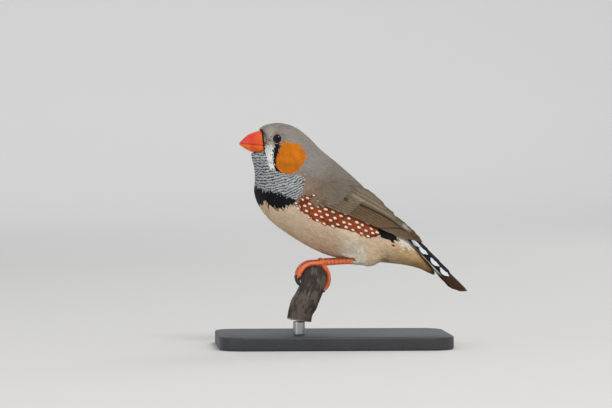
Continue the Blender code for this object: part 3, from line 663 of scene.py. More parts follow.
def barred(add, place, colour, alpha):
    """Fine wavy dark bars over the pale grey of the throat, where alpha is one."""
    phase = add("Attribute", attribute_name="bars")
    waver = add("TexNoise", Vector=place, Scale=1 / (2.4 * MM), Detail=3.0, Roughness=0.65)
    total = add("Math", waver, 2.6, phase.outputs["Fac"], operation="MULTIPLY_ADD")
    wave = add("Math", total, math.tau, operation="MULTIPLY")
    wave = add("Math", wave, operation="SINE")
    patchy = add("TexNoise", Vector=place, Scale=1 / (1.1 * MM), Detail=1.0)
    wave = add("Math", patchy, 1.7, wave, operation="MULTIPLY_ADD")
    band = add("MapRange", wave, 0.85, 1.50, 0.0, 0.92)
    amount = add("Math", band, alpha, operation="MULTIPLY")
    return add("Mix", {0: amount, 6: colour, 7: linear(BAR_COLOUR)}, data_type="RGBA").outputs[2]


add = new_material("Feathered skin", flesh)
place = add("TexCoord").outputs["Object"]
tint = add("Attribute", attribute_name="plumage")
down = add("TexNoise", Vector=place, Scale=1 / (0.5 * MM), Detail=4.0)
relief = add("Bump", Height=down, Strength=0.6, Distance=0.15 * MM)
colour = barred(add, place, tint.outputs["Color"], tint.outputs["Alpha"])
add("OutputMaterial", Surface=add(
    "BsdfPrincipled", Base_Color=colour, Roughness=0.95, Specular_IOR_Level=0.15, Normal=relief))
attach(flesh, "root")
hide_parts(*FLESH)

# Body feathers
# Small soft contour feathers grow in tracts from head to vent. Their loose barbs part into narrow
# tufts, dozens on each square millimetre of the face and a few on the belly. Each tuft is a thin
# curved leaf rooted in the skin that lies back over the next ones like a roof tile.
SEED = 11
# Places and sizes below are in mm; shares are parts of the sizes that the tracts give.
CANDIDATES = 300000
VANE_CURVE = 0.10
SOFTNESS = 0.8
LEAF_STATIONS = (0.0, 0.3, 0.62, 0.86, 1.0)
LEAF_WIDTHS = (0.42, 0.85, 1.0, 0.76, 0.22)
LEAF_RAGGED = 0.08
LEAF_ARCH = 0.05
LENGTH_RANGE = (0.86, 1.14)
WIDTH_RANGE = (0.88, 1.12)
LIE_SPREAD = 0.09
ROOT_DEPTH = 1.05
SEEN_SHARE = 0.8
TONE_SPREAD = 0.07
LENGTH_SHARE = 1.30
WIDTH_SHARE = 0.58
SPACING_SHARE = 0.385
BAKE_PATCH = 0.003
CONTACT_REACH = 9.0
EYE_PLACE = (-21.2, 47.0)
EYE_CLEARANCE = 1.95
EYE_SEAT_REACH = 4.5
EYE_PARTING = 3.9
EYE_PARTING_FADE = 1.4
# Half widths of the strips along back and belly that count as neither side.
MIDDLE_STRIP = 4
UNDER_STRIP = 5
SHANK_TOP = (7.6, 6.2, 1.9)
SHANK_CUFF = (1.25, 1.7)
SHANK_REACH = (5.4, 8.5)
SHANK_HEIGHT = 4.2
SHANK_SPREAD = 2.6
BILL_TAPER_X = (-34.8, -34.3, -33.7, -33.0, -32.2, -31.2, -29.0, -27.0, -25.0)
BILL_TAPER_WIDTH = (0.45, 0.61, 0.76, 0.88, 0.96, 1.0, 1.0, 0.94, 0.83)
BILL_TAPER_DEPTH = (0.40, 0.57, 0.74, 0.87, 0.955, 1.0, 1.0, 1.0, 1.0)
MOUTH_HEIGHT = 45.05
BILL_REACH = 4
BILL_BEHIND = -22
BILL_GUIDE_SWELL = 0.25
BLUR = 0.22
NECK_X = (-15.0, -12.0, -6.0, -3.0)
NECK_BLUR = (0.0, 0.6, 0.6, 0.0)
NECK_HEIGHTS = (27.5, 35)
# Where marks run into one another, the box of the side view and how far in mm.
BLURRED = ((((-60.0, 19.0), (-10.0, 19.0), (-10.0, 30.5), (-60.0, 30.5)), 0.40),
           (((21.0, 3.0), (90.0, 3.0), (90.0, 90.0), (21.0, 90.0)), 0.60))
LORES = ((-26.0, 49.2), (-23.4, 49.4), (-22.8, 46.5), (-23.1, 44.4), (-24.6, 45.0), (-25.8, 44.0))
# Where single dark feathers stand among the pale ones, and how many of them are dark.
SPECKED = ((LORES, 0.34), (((-60.0, 50.2), (-15.0, 50.2), (-15.0, 90.0), (-60.0, 90.0)), 0.12),
           (WHITE_STRIPE, 0.10))
SPECK_SHADE = 0.35
FLIGHT_ZONE = ((-3.0, 23.6), (2.0, 30.6), (8.0, 28.4), (14.0, 24.2), (20.0, 19.4), (27.0, 13.2),
               (30.0, 10.6), (24.0, 12.6), (12.0, 17.0), (4.0, 20.2))


def lens(rows, columns):
    """Faces of a thin leaf whose two sides share their rim, and which points lie on its top."""
    count = (rows + 1) * (columns + 1)
    index = np.arange(count).reshape(rows + 1, columns + 1)
    under = index.copy()
    under[1:-1, 1:-1] = count + np.arange((rows - 1) * (columns - 1)).reshape(rows - 1, columns - 1)
    faces = []
    for sheet, flip in ((index, False), (under, True)):
        quads = np.stack((sheet[:-1, :-1], sheet[1:, :-1], sheet[1:, 1:], sheet[:-1, 1:]), axis=-1)
        quads = quads.reshape(-1, 4)
        faces.append(quads[:, ::-1] if flip else quads)
    return np.concatenate(faces), index[1:-1, 1:-1].ravel()


def leaves(grown, rng, rows, columns):
    """Points, vane places and soft normals of many small feathers, each a curved leaf."""
    roots, tips, normals_root, normals_tip, sides, lengths, widths = grown
    t = np.linspace(0, 1, rows + 1)[None, :, None] ** 0.85
    u = np.linspace(-1, 1, columns + 1)[None, None, :]
    count = len(roots)
    spread = np.interp(t, LEAF_STATIONS, LEAF_WIDTHS)
    ragged = rng.uniform(-LEAF_RAGGED, LEAF_RAGGED, (count, 1, columns + 1)) - 0.06 * np.abs(u)
    along = t + np.where(t > 0.95, ragged, 0.35 * ragged * (t > 0.75))
    middle = 0.5 * (roots + tips) + normals_root * (LEAF_ARCH * lengths)[:, None]
    a = along[..., None]
    centre = ((1 - a) ** 2 * roots[:, None, None] + 2 * a * (1 - a) * middle[:, None, None]
              + a ** 2 * tips[:, None, None])
    normal = (1 - a) * normals_root[:, None, None] + a * normals_tip[:, None, None]
    half = (widths / 2)[:, None, None] * spread * u
    curve = -VANE_CURVE * widths[:, None, None] * u ** 2 * spread
    sheet = centre + sides[:, None, None] * half[..., None] + normal * curve[..., None]
    thick = 0.018 + 0.008 * widths
    belly = sheet[:, 1:-1, 1:-1] - normal[:, 1:-1, 1:-1] * thick[:, None, None, None]
    points = np.concatenate((sheet.reshape(count, -1, 3), belly.reshape(count, -1, 3)), axis=1)
    vane = np.stack(np.broadcast_arrays((u + 1) / 2, t), axis=-1)[0]
    vane = np.concatenate((vane.reshape(-1, 2), vane[1:-1, 1:-1].reshape(-1, 2)))
    own = np.cross(np.gradient(sheet, axis=1), np.gradient(sheet, axis=2))
    own /= np.linalg.norm(own, axis=-1, keepdims=True) + 1e-12
    soft = SOFTNESS * normal + (1 - SOFTNESS) * own
    soft /= np.linalg.norm(soft, axis=-1, keepdims=True)
    return points, vane, soft.reshape(count, -1, 3)


def outer_contacts(points):
    """Nearest points and normals of the outside of the bird."""
    met = [outer_tree.find_nearest(Vector(spot), CONTACT_REACH * MM) for spot in in_world(points)]
    return to_mm([hit for hit, _, _, _ in met]), np.array([normal for _, normal, _, _ in met])


def laid(lie, normals):
    """Directions turned to lie in the surface, of length one."""
    lie = lie - normals * (lie * normals).sum(axis=1, keepdims=True)
    return lie / np.linalg.norm(lie, axis=1, keepdims=True)


rng = np.random.default_rng(SEED)
mesh = flesh.data
mesh.calc_loop_triangles()
triangles = np.empty(len(mesh.loop_triangles) * 3, np.int32)
mesh.loop_triangles.foreach_get("vertices", triangles)
triangles = triangles.reshape(-1, 3)
corners = skin_outer[triangles]
areas = np.linalg.norm(np.cross(corners[:, 1] - corners[:, 0], corners[:, 2] - corners[:, 0]), axis=1) / 2
middles = corners.mean(axis=1)
spacings = blended(sizes, middles)[:, 2] * SPACING_SHARE
chance = areas / spacings ** 2
picks = rng.choice(len(triangles), CANDIDATES, p=chance / chance.sum())
shares = rng.dirichlet((1, 1, 1), CANDIDATES)
candidates = (corners[picks] * shares[:, :, None]).sum(axis=1)
candidate_normals = (skin_normals[triangles[picks]] * shares[:, :, None]).sum(axis=1)
candidate_normals /= np.linalg.norm(candidate_normals, axis=1, keepdims=True)
spacings = spacings[picks]

tree_of_roots = kdtree.KDTree(CANDIDATES)
for number, point in enumerate(candidates):
    tree_of_roots.insert(point, number)
tree_of_roots.balance()
taken = np.zeros(CANDIDATES, bool)
kept = []
for number in range(CANDIDATES):
    if not taken[number]:
        kept.append(number)
        for _, other, _ in tree_of_roots.find_range(candidates[number], spacings[number]):
            taken[other] = True
kept = np.array(kept)

outer_roots = candidates[kept]
root_normals = candidate_normals[kept]
x, h = side_view(outer_roots)
wide = np.abs(outer_roots[:, 1])
on_wing = within(FLIGHT_ZONE, x, h) & (wide > MIDDLE_STRIP)
eye_gap = np.hypot(outer_roots[:, 0] - EYE_PLACE[0], outer_roots[:, 2] - EYE_PLACE[1])
in_eye = (eye_gap < EYE_CLEARANCE) & (wide > MIDDLE_STRIP)
near_eye = (eye_gap < EYE_SEAT_REACH) & (wide > MIDDLE_STRIP)
outer_roots[near_eye], root_normals[near_eye] = outer_contacts(outer_roots[near_eye])
in_flank = within(FLANK, x, h) & (wide > UNDER_STRIP)


def slim_bill(piece):
    """Points the tip of the bill, and draws its base in where the feathers of the face lap over it."""
    points = to_mm(vectors_of(piece))
    points[:, 1] *= np.interp(points[:, 0], BILL_TAPER_X, BILL_TAPER_WIDTH)
    deep = np.interp(points[:, 0], BILL_TAPER_X, BILL_TAPER_DEPTH)
    points[:, 2] = MOUTH_HEIGHT + (points[:, 2] - MOUTH_HEIGHT) * deep
    put_points(piece, points)


bill_copy = welded_copy("bill_guide", ("bill_upper", "bill_lower"))
slim_bill(bill_copy)
with_modifier(bill_copy, "DISPLACE", strength=BILL_GUIDE_SWELL * MM, mid_level=0.0)
bill_tree = search_tree(bill_copy)


def in_bill(point):
    spot = Vector(in_world(point))
    hit, normal, _, _ = bill_tree.find_nearest(spot, BILL_REACH * MM)
    return hit is not None and (spot - hit).dot(normal) < 0


near_bill = outer_roots[:, 0] < BILL_BEHIND
hidden = within(MANDIBLE, x, h)
hidden[near_bill] |= [in_bill(p) for p in outer_roots[near_bill]]
free = ~(on_wing | in_eye | in_flank | hidden)
outer_roots, root_normals = outer_roots[free], root_normals[free]

anchors = [(place, (length, width, spacing, depth) + lie)
           for _, place, length, width, spacing, depth, lie in TRACTS]


def grow(outer_roots, root_normals, rng):
    """Roots, tips, normals, sides, lengths and widths of feathers that grow at some places."""
    values = blended(anchors, outer_roots)
    count = len(outer_roots)
    lengths = values[:, 0] * rng.uniform(*LENGTH_RANGE, count) * LENGTH_SHARE
    widths = values[:, 1] * rng.uniform(*WIDTH_RANGE, count) * WIDTH_SHARE
    lie = np.stack((values[:, 4], np.zeros(count), values[:, 5]), axis=1)
    lie += rng.normal(0, LIE_SPREAD, (count, 3))
    from_eye = outer_roots - (EYE_PLACE[0], 0, EYE_PLACE[1])
    from_eye[:, 1] = 0
    eye_gap = np.linalg.norm(from_eye, axis=1)
    from_eye /= eye_gap[:, None] + 1e-9
    toward = np.clip(-(lie * from_eye).sum(axis=1), 0, None)
    toward *= np.clip((EYE_PARTING - eye_gap) / EYE_PARTING_FADE, 0, 1.1)
    lie += from_eye * (toward * (np.abs(outer_roots[:, 1]) > MIDDLE_STRIP))[:, None]
    lie = laid(lie, root_normals)
    roots = outer_roots - root_normals * (values[:, 3] * DEPTH_SHARE * ROOT_DEPTH)[:, None]
    reach = outer_roots + lie * lengths[:, None]
    tips, tip_normals = outer_contacts(reach)
    on_shank = (reach[:, 0] > SHANK_REACH[0]) & (reach[:, 0] < SHANK_REACH[1]) & (reach[:, 2] < SHANK_HEIGHT)
    on_shank &= np.abs(np.abs(reach[:, 1]) - SHANK_TOP[1]) < SHANK_SPREAD
    middle = np.tile(SHANK_TOP, (count, 1))
    middle[:, 0] = reach[:, 0]
    middle[:, 1] *= np.sign(reach[:, 1])
    outward = reach - middle
    away = np.linalg.norm(outward, axis=1, keepdims=True) + 1e-9
    wrapped = middle + outward / away * np.clip(away, *SHANK_CUFF)
    tips[on_shank], tip_normals[on_shank] = wrapped[on_shank], (outward / away)[on_shank]
    tips += tip_normals * rng.uniform(-0.04, 0.05, count)[:, None]
    sides = np.cross(root_normals, lie)
    return roots, tips, root_normals, tip_normals, sides, lengths, widths


def feather_piece(name, grown, colours, rng, rows=4, columns=2):
    """One mesh of many feathers with their colours, vane places and bake patches."""
    faces, inner = lens(rows, columns)
    points, vane, soft = leaves(grown, rng, rows, columns)
    count, each = points.shape[:2]
    all_faces = (faces[None] + (np.arange(count) * each)[:, None, None]).reshape(-1, 4)
    piece = mesh_piece(name, points.reshape(-1, 3), all_faces)
    sheet_point = np.concatenate((np.arange(soft.shape[1]), inner))[faces]
    facing = np.where(np.arange(len(faces)) < len(faces) // 2, 1.0, -1.0)
    corner_normals = soft[:, sheet_point] * facing[None, :, None, None]
    piece.data.normals_split_custom_set(corner_normals.reshape(-1, 3))
    corner_map(piece, "Vane", np.tile(vane, (count, 1)))
    spots = unwrapped(grown[0])
    low, high = spots.min(axis=0), spots.max(axis=0)
    spots = 0.01 + 0.98 * (spots - low) / (high - low + 1e-9)
    patches = np.clip(spots[:, None] + (vane[None] - 0.5) * BAKE_PATCH, 0, 1)
    corner_map(piece, "OFBake", patches.reshape(-1, 2))
    point_values(piece, "plumage", np.repeat(colours, each, axis=0))
    point_values(piece, "bars", bar_phase(points.reshape(-1, 3)))
    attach(piece, "root")
    return piece


def feather_colours(grown, rng, plain=False):
    """Colour of each feather, taken where its tip shows, and varied a little."""
    roots, tips = grown[0], grown[1]
    seen = roots + (tips - roots) * SEEN_SHARE
    x, h = side_view(seen)
    blur = np.full(len(x), BLUR)
    blur = np.maximum(blur, np.interp(x, NECK_X, NECK_BLUR) * (h > NECK_HEIGHTS[0]) * (h < NECK_HEIGHTS[1]))
    for area, amount in BLURRED:
        blur = np.maximum(blur, amount * within(area, x, h))
    seen += rng.normal(0, 1, seen.shape) * blur[:, None]
    colours = plumage(seen, plain)
    specked = sum(share * within(area, x, h) for area, share in SPECKED)
    colours[rng.random(len(x)) < specked, :3] *= SPECK_SHADE
    colours[:, :3] *= rng.normal(1.0, TONE_SPREAD, (len(roots), 1)).clip(0.8, 1.2)
    return colours


def vane_place(add):
    """The place on a vane, how far it lies to a side of the shaft, and how far toward the tip."""
    vane = add("UVMap", uv_map="Vane")
    split = add("SeparateXYZ", Vector=vane)
    side = add("Math", split, 0.5, operation="SUBTRACT")
    return vane, add("Math", side, operation="ABSOLUTE"), split.outputs[1]


def barb_waves(add, off, along, lean, rate, waver=None, sway=0.0):
    """Waves for the barbs of a vane, which slant toward its tip on both sides of the shaft."""
    slant = add("Math", off, -lean, along, operation="MULTIPLY_ADD")
    if waver is not None:
        slant = add("Math", waver, sway, slant, operation="MULTIPLY_ADD")
    wave = add("Math", slant, rate, operation="MULTIPLY")
    return add("Math", wave, operation="SINE")


def feather_material(piece, barring=False):
    """Soft keratin barbs: matt, with a faint sheen, and painted shade toward the root, under the next
    feather's tip.
    """
    add = new_material("Contour feathers " + piece.name, piece)
    place = add("TexCoord").outputs["Object"]
    tint = add("Attribute", attribute_name="plumage")
    _, side, along = vane_place(add)
    barbs = barb_waves(add, side, along, 0.9, 75.0)
    mottle = add("TexNoise", Vector=place, Scale=1 / (2.2 * MM), Detail=3.0)
    # Painted shade: darker toward the root, under the next feather's tip.
    shade = add("MapRange", along, 0.25, 1.0, 0.88, 1.04)
    cloud = add("MapRange", mottle, 0.3, 0.7, 0.93, 1.07)
    shade = add("Math", shade, cloud, operation="MULTIPLY")
    comb = add("MapRange", barbs, -1.0, 1.0, 0.97, 1.02)
    shade = add("Math", shade, comb, operation="MULTIPLY")
    colour = tint.outputs["Color"]
    if barring:
        colour = barred(add, place, colour, tint.outputs["Alpha"])
    colour = add("VectorMath", colour, Scale=shade, operation="SCALE")
    relief = add("Bump", Height=barbs, Strength=0.2, Distance=0.02 * MM)
    add("OutputMaterial", Surface=add(
        "BsdfPrincipled", Base_Color=colour, Roughness=0.8, Specular_IOR_Level=0.16, Sheen_Weight=0.04,
        Sheen_Roughness=0.5, Normal=relief))


tract_names = [row[0] for row in TRACTS]
tract_places = np.array([row[1] for row in TRACTS])
nearest = np.linalg.norm(folded(outer_roots)[:, None] - tract_places[None], axis=2).argmin(axis=1)
for tract in dict.fromkeys(tract_names):
    in_tract = np.array([tract_names[n] == tract for n in nearest])
    for side, label in SIDES:
        chosen = in_tract & (outer_roots[:, 1] * side > 0)
        grown = grow(outer_roots[chosen], root_normals[chosen], rng)
        piece = feather_piece(f"plumage_{tract}_{label}", grown, feather_colours(grown, rng), rng)
        feather_material(piece, barring=tract in ("throat", "face", "cheek", "breast", "nape"))

# Bill fringe
# Bristly black feathers, shorter than a millimetre, ring the base of the bill and lap over the edge
# of its horn. The pale feathers of the face lie under their tips, in rows that follow the same ring.
FRINGE_LENGTH = 0.85
DARK_SHARE = 0.62
FRINGE_WIDTH = 0.36
FRINGE_COUNT = 170
BILL_MIDDLE = 45.4
BILL_HALF = (4.0, 4.7)
FRINGE_RAY = 12
FRINGE_DEPTH = 0.2
FRINGE_RISE = 0.22
FRINGE_CLEAR = 0.06
FRINGE_BURIED = -0.35
# Each row is its distance behind the edge of the horn, and whether it is dark.
FRINGE_ROWS = ((-0.36, True), (-0.12, True), (0.15, False), (0.45, False), (0.80, False),
               (1.15, False), (1.50, False))
edge_heights = [h for _, h in BILL_EDGE][::-1]
edge_places = [x for x, _ in BILL_EDGE][::-1]
fringe_hits = []
for offset, dark in FRINGE_ROWS:
    turns = np.arange(FRINGE_COUNT) + rng.uniform(-0.3, 0.3, FRINGE_COUNT)
    for turn in math.tau * turns / FRINGE_COUNT:
        way = Vector((0, math.sin(turn), math.cos(turn)))
        edge = np.interp(BILL_MIDDLE + BILL_HALF[1] * way.z, edge_heights, edge_places)
        edge += offset - NEAR_SHIFT * BILL_HALF[0] * abs(way.y) + rng.normal(0, 0.07)
        start = Vector(in_world((edge, 0, BILL_MIDDLE))) + FRINGE_RAY * MM * way
        hit, normal, _, _ = bill_tree.ray_cast(start, -way)
        if hit is not None:
            fringe_hits.append((hit, normal, dark))
spots, normals, fringe_dark = (np.array(column) for column in zip(*fringe_hits))
spots = to_mm(spots)
near, up = outer_contacts(spots)
shown = ((spots - near) * up).sum(axis=1) > FRINGE_BURIED
roots, normals, fringe_dark = (spots - normals * FRINGE_DEPTH)[shown], normals[shown], fringe_dark[shown]
count = len(roots)
lie = laid(np.tile((1.0, 0.0, 0.0), (count, 1)) + rng.normal(0, 0.10, (count, 3)), normals)
length = FRINGE_LENGTH * rng.uniform(0.85, 1.15, count) * np.where(fringe_dark, DARK_SHARE, 1.0)
tips = roots + lie * length[:, None] + normals * FRINGE_RISE
near, up = outer_contacts(tips)
low = ((tips - near) * up).sum(axis=1) < FRINGE_CLEAR
tips[low] = (near + up * FRINGE_CLEAR)[low]
grown = (roots, tips, normals, normals, np.cross(normals, lie), length,
         FRINGE_WIDTH * rng.uniform(0.85, 1.15, count))
colours = feather_colours(grown, rng)
colours[fringe_dark] = (*linear(EDGE_COLOUR)[:3], 0.0)
fringe = feather_piece("plumage_bill_fringe", grown, colours, rng)
feather_material(fringe, barring=True)

# Shoulder feathers
# Soft grey-brown feathers hang from the shoulder like a cape over the roots of the wing, so that
# no edge shows between back and wing. They are made as the body feathers, on the wing's surface.
CAPE = ((-11.5, 25.4), (-10.8, 29.6), (-6.0, 32.4), (-1.0, 33.0), (2.8, 31.8), (3.4, 29.8),
        (2.4, 27.8), (-0.2, 25.4), (-2.6, 23.8), (-4.6, 23.4), (-8.0, 24.0))
CAPE_TOP = ((-11.0, 29.4), (-6.0, 32.2), (-1.0, 32.8), (4.2, 31.2), (9.0, 28.4))
CAPE_FRONT = ((-12.0, 25.0), (-8.0, 23.8), (-4.6, 23.0))
CAPE_LIE = (0.84, -0.54)
CAPE_LENGTH = 3.0
CAPE_WIDTH = 0.72
CAPE_SPACING = 0.36
CAPE_DEPTH = 0.5
CAPE_LIFT = ((-10.5, -6.0, -1.0, 4.0, 9.0), (0.0, 0.75, 1.30, 1.62, 1.70))
CAPE_RAGGED = 0.35
CAPE_FADES = (5.5, 2.6, 2.2)
for side, label in SIDES:
    x, h = np.meshgrid(np.arange(-12, 28, CAPE_SPACING), np.arange(14, 34, CAPE_SPACING))
    x = x.ravel() + rng.uniform(-0.5, 0.5, x.size) * CAPE_SPACING
    h = h.ravel() + rng.uniform(-0.5, 0.5, h.size) * CAPE_SPACING
    chosen = within(CAPE, x + rng.normal(0, CAPE_RAGGED, len(x)), h + rng.normal(0, CAPE_RAGGED, len(h)))
    x, h = x[chosen], h[chosen]
    turn = rng.normal(0, 0.12, len(x))
    length = CAPE_LENGTH * rng.uniform(0.85, 1.15, len(x))
    run_x = length * (CAPE_LIE[0] * np.cos(turn) - CAPE_LIE[1] * np.sin(turn))
    run_h = length * (CAPE_LIE[1] * np.cos(turn) + CAPE_LIE[0] * np.sin(turn))
    ends = []
    for along, extra in ((0.0, -CAPE_DEPTH), (1.0, 0.0)):
        a, b = x + run_x * along, h + run_h * along
        lift = np.interp(a, *CAPE_LIFT)
        spot = wing_surface(a, b, lift, side)
        up = wing_surface(a, b, lift + 1.0, side) - spot
        near, near_up = outer_contacts(wing_surface(a, b, np.full_like(lift, 0.5), side))
        share = np.minimum((a - CAPE_LIFT[0][0]) / CAPE_FADES[0], near_line(CAPE_TOP, a, b) / CAPE_FADES[1])
        share = np.minimum(share, near_line(CAPE_FRONT, a, b) / CAPE_FADES[2] + 0.1)
        share = np.clip(share, 0, 1)[:, None]
        share = share * share * (3 - 2 * share)
        spot = share * spot + (1 - share) * near
        up = share * up + (1 - share) * near_up
        up /= np.linalg.norm(up, axis=1, keepdims=True)
        ends += [spot + up * (extra + rng.uniform(-0.04, 0.04, len(x)))[:, None], up]
    roots, root_up, tips, tip_up = ends
    lie = tips - roots
    lie /= np.linalg.norm(lie, axis=1, keepdims=True)
    grown = (roots, tips, root_up, tip_up, np.cross(root_up, lie), length,
             CAPE_WIDTH * rng.uniform(0.85, 1.15, len(x)))
    colours = feather_colours(grown, rng, plain=True)
    cape = feather_piece("shoulder_cape_" + label, grown, colours, rng)
    feather_material(cape)

# Flank feathers
# The chestnut feathers along each side, below the wing, each end in an oval white spot, and lie in
# even staggered rows so that the spots show in lines. They are a little larger and firmer.
FLANK_ALONG = (0.93, -0.37)
FLANK_START = (-13.0, 25.6)
FLANK_PITCH = 3.05
FLANK_ROW = 1.55
FLANK_LENGTH = 4.3
FLANK_WIDTH = 2.05
FLANK_ROWS = 10
FLANK_COLUMNS = 16
FLANK_HALF = 13
FLANK_DEPTH = 0.5
FLANK_LIFT = 0.12
CHESTNUT = "96420f"
FLANK_SPOT = "f3e9df"


def side_contact(x, h, side):
    """Where a line of sight from one side first meets the bird, with the normal there."""
    start = Vector(in_world((x, FAR_SIDE * side, h)))
    hit, normal, _, _ = outer_tree.ray_cast(start, Vector((0, -side, 0)))
    if hit is None:
        return None, None
    return to_mm(hit), np.array(normal)


flank_tips = []
for row in range(FLANK_ROWS):
    for place_in_row in range(FLANK_COLUMNS):
        shift = FLANK_PITCH * (place_in_row - 1 + 0.5 * (row % 2)) + rng.normal(0, 0.24)
        drop = FLANK_ROW * (row - 1.5) + rng.normal(0, 0.12)
        x = FLANK_START[0] + shift * FLANK_ALONG[0] + drop * FLANK_ALONG[1]
        h = FLANK_START[1] + shift * FLANK_ALONG[1] - drop * FLANK_ALONG[0]
        flank_tips.append((x, h))
flank_tips = np.array(flank_tips)
flank_tips = flank_tips[within(FLANK, flank_tips[:, 0] - 0.5, flank_tips[:, 1] + 0.2)]
flank_roots, flank_normals = [], []
for side, _ in SIDES:
    for x, h in flank_tips:
        root, normal = side_contact(x - FLANK_LENGTH * FLANK_ALONG[0] - NEAR_SHIFT * FLANK_HALF,
                                    h - FLANK_LENGTH * FLANK_ALONG[1] + NEAR_DROP * FLANK_HALF, side)
        if root is not None:
            flank_roots.append(root)
            flank_normals.append(normal)
flank_roots, flank_normals = np.array(flank_roots), np.array(flank_normals)
count = len(flank_roots)
lie = np.tile((FLANK_ALONG[0], 0, FLANK_ALONG[1]), (count, 1)) + rng.normal(0, 0.04, (count, 3))
lie = laid(lie, flank_normals)
tips, tip_normals = outer_contacts(flank_roots + lie * FLANK_LENGTH)
tips += tip_normals * FLANK_LIFT
grown = (flank_roots - flank_normals * FLANK_DEPTH, tips, flank_normals, tip_normals,
         np.cross(flank_normals, lie), np.full(count, FLANK_LENGTH),
         FLANK_WIDTH * rng.uniform(0.92, 1.08, count))
colours = np.tile(linear(CHESTNUT), (count, 1))
colours[:, :3] *= rng.normal(1.0, 0.10, (count, 1)).clip(0.75, 1.3)
colours[:, 3] = rng.uniform(0.92, 1.22, count)
flank = feather_piece("flank_feathers", grown, colours, rng, 8, 6)
add = new_material("Chestnut feathers with white spots", flank)
tint = add("Attribute", attribute_name="plumage")
vane, side, along = vane_place(add)
place = add("TexCoord").outputs["Object"]
waver = add("TexNoise", Vector=place, Scale=1 / (0.8 * MM), Detail=2.0)
centred = add("VectorMath", vane, (-0.5, -0.76, 0.0), operation="ADD")
scaled = add("VectorMath", centred, (1 / 0.25, 1 / 0.20, 0.0), operation="MULTIPLY")
oval = add("VectorMath", scaled, operation="LENGTH")
oval = add("Math", oval.outputs["Value"], tint.outputs["Alpha"], operation="MULTIPLY")
oval = add("Math", waver, 1.0, oval, operation="MULTIPLY_ADD")
spot = add("MapRange", oval, 1.25, 1.55, 1.0, 0.0)
dark = add("MapRange", oval, 1.5, 2.3, 0.72, 1.1)
barbs = barb_waves(add, side, along, 0.7, 110.0, waver, 0.06)
comb = add("MapRange", barbs, -1.0, 1.0, 0.84, 1.12)
dark = add("Math", dark, comb, operation="MULTIPLY")
rust = add("VectorMath", tint.outputs["Color"], Scale=dark, operation="SCALE")
colour = add("Mix", {0: spot, 6: rust, 7: linear(FLANK_SPOT)}, data_type="RGBA")
add("OutputMaterial", Surface=add(
    "BsdfPrincipled", Base_Color=colour.outputs[2], Roughness=0.7, Specular_IOR_Level=0.3, Sheen_Weight=0.1,
    Sheen_Roughness=0.5))

# Wings
# The folded wing is a fan of stiff feathers stacked like cards: long primaries lowest, then the
# secondaries and the broad tertials over them, and a row of coverts like tiles on their roots.
# Each has a springy shaft with a web of fine slanting barbs on both sides.
VANE_ROWS = 26
VANE_COLUMNS = np.array((-1.0, -0.72, -0.42, -0.16, -0.05, 0.05, 0.16, 0.42, 0.72, 1.0))
VANE_THICKNESS = 0.13
SHAFT_RISE = 0.07
BARB_SPACING = 0.38
INNER_WEB = "43382d"
# The dark lower margin of the lowest tertial is partly its own dark edge and partly a painted shadow line
# under it.
DARK_MARGIN_AND_SHADOW = "221b15"
SHAFT_COLOUR = "3b3027"
OVAL_SPOT = "dde4e9"
# Each tier: name, count, ends of its lines of roots and tips; then width, lift, step, how far the
# shaft is off the middle, where the tip rounds, bend, and the colours of web and edge.
WING_TIERS = (
    ("primary", 7, ((2.0, 20.8), (6.0, 24.5)), ((27.2, 9.8), (33.0, 8.6)),
     (2.3, 0.62, 0.05, 0.3, 0.9, 0.0, "5a4937", "806c54")),
    ("inner_primary", 3, ((4.0, 24.0), (8.0, 26.0)), ((31.4, 10.6), (27.8, 13.2)),
     (2.4, 0.95, 0.05, 0.3, 0.9, 0.0, "564635", "7e6a53")),
    ("secondary", 6, ((-1.0, 22.4), (5.0, 25.4)), ((18.5, 13.9), (25.4, 13.3)),
     (2.4, 1.05, 0.06, 0.12, 0.78, 0.0, "604c38", "7e6a50")),
    ("tertial", 3, ((1.5, 26.9), (3.2, 29.2)), ((27.8, 13.0), (19.4, 20.2)),
     (3.7, 1.42, 0.10, 0.12, 0.78, -0.7, "786c5a", "91836a")),
    ("greater_covert", 10, ((-5.0, 23.6), (-0.6, 29.8)), ((5.4, 19.4), (12.6, 25.6)),
     (2.2, 1.15, 0.03, 0.12, 0.78, 0.0, "6c5f4e", "857661")))
# Each mark is a line of the side view in mm, how far it spreads, its colour and its strength.
WING_MARKS = ((((4.0, 25.4), (4.8, 24.4)), 0.9, "2f261d", 0.8),
              (((7.4, 26.0), (10.6, 24.0)), 0.6, "b0a384", 0.5),
              (((26.3, 14.9), (27.9, 13.1)), 0.6, "d0c9ba", 0.6))


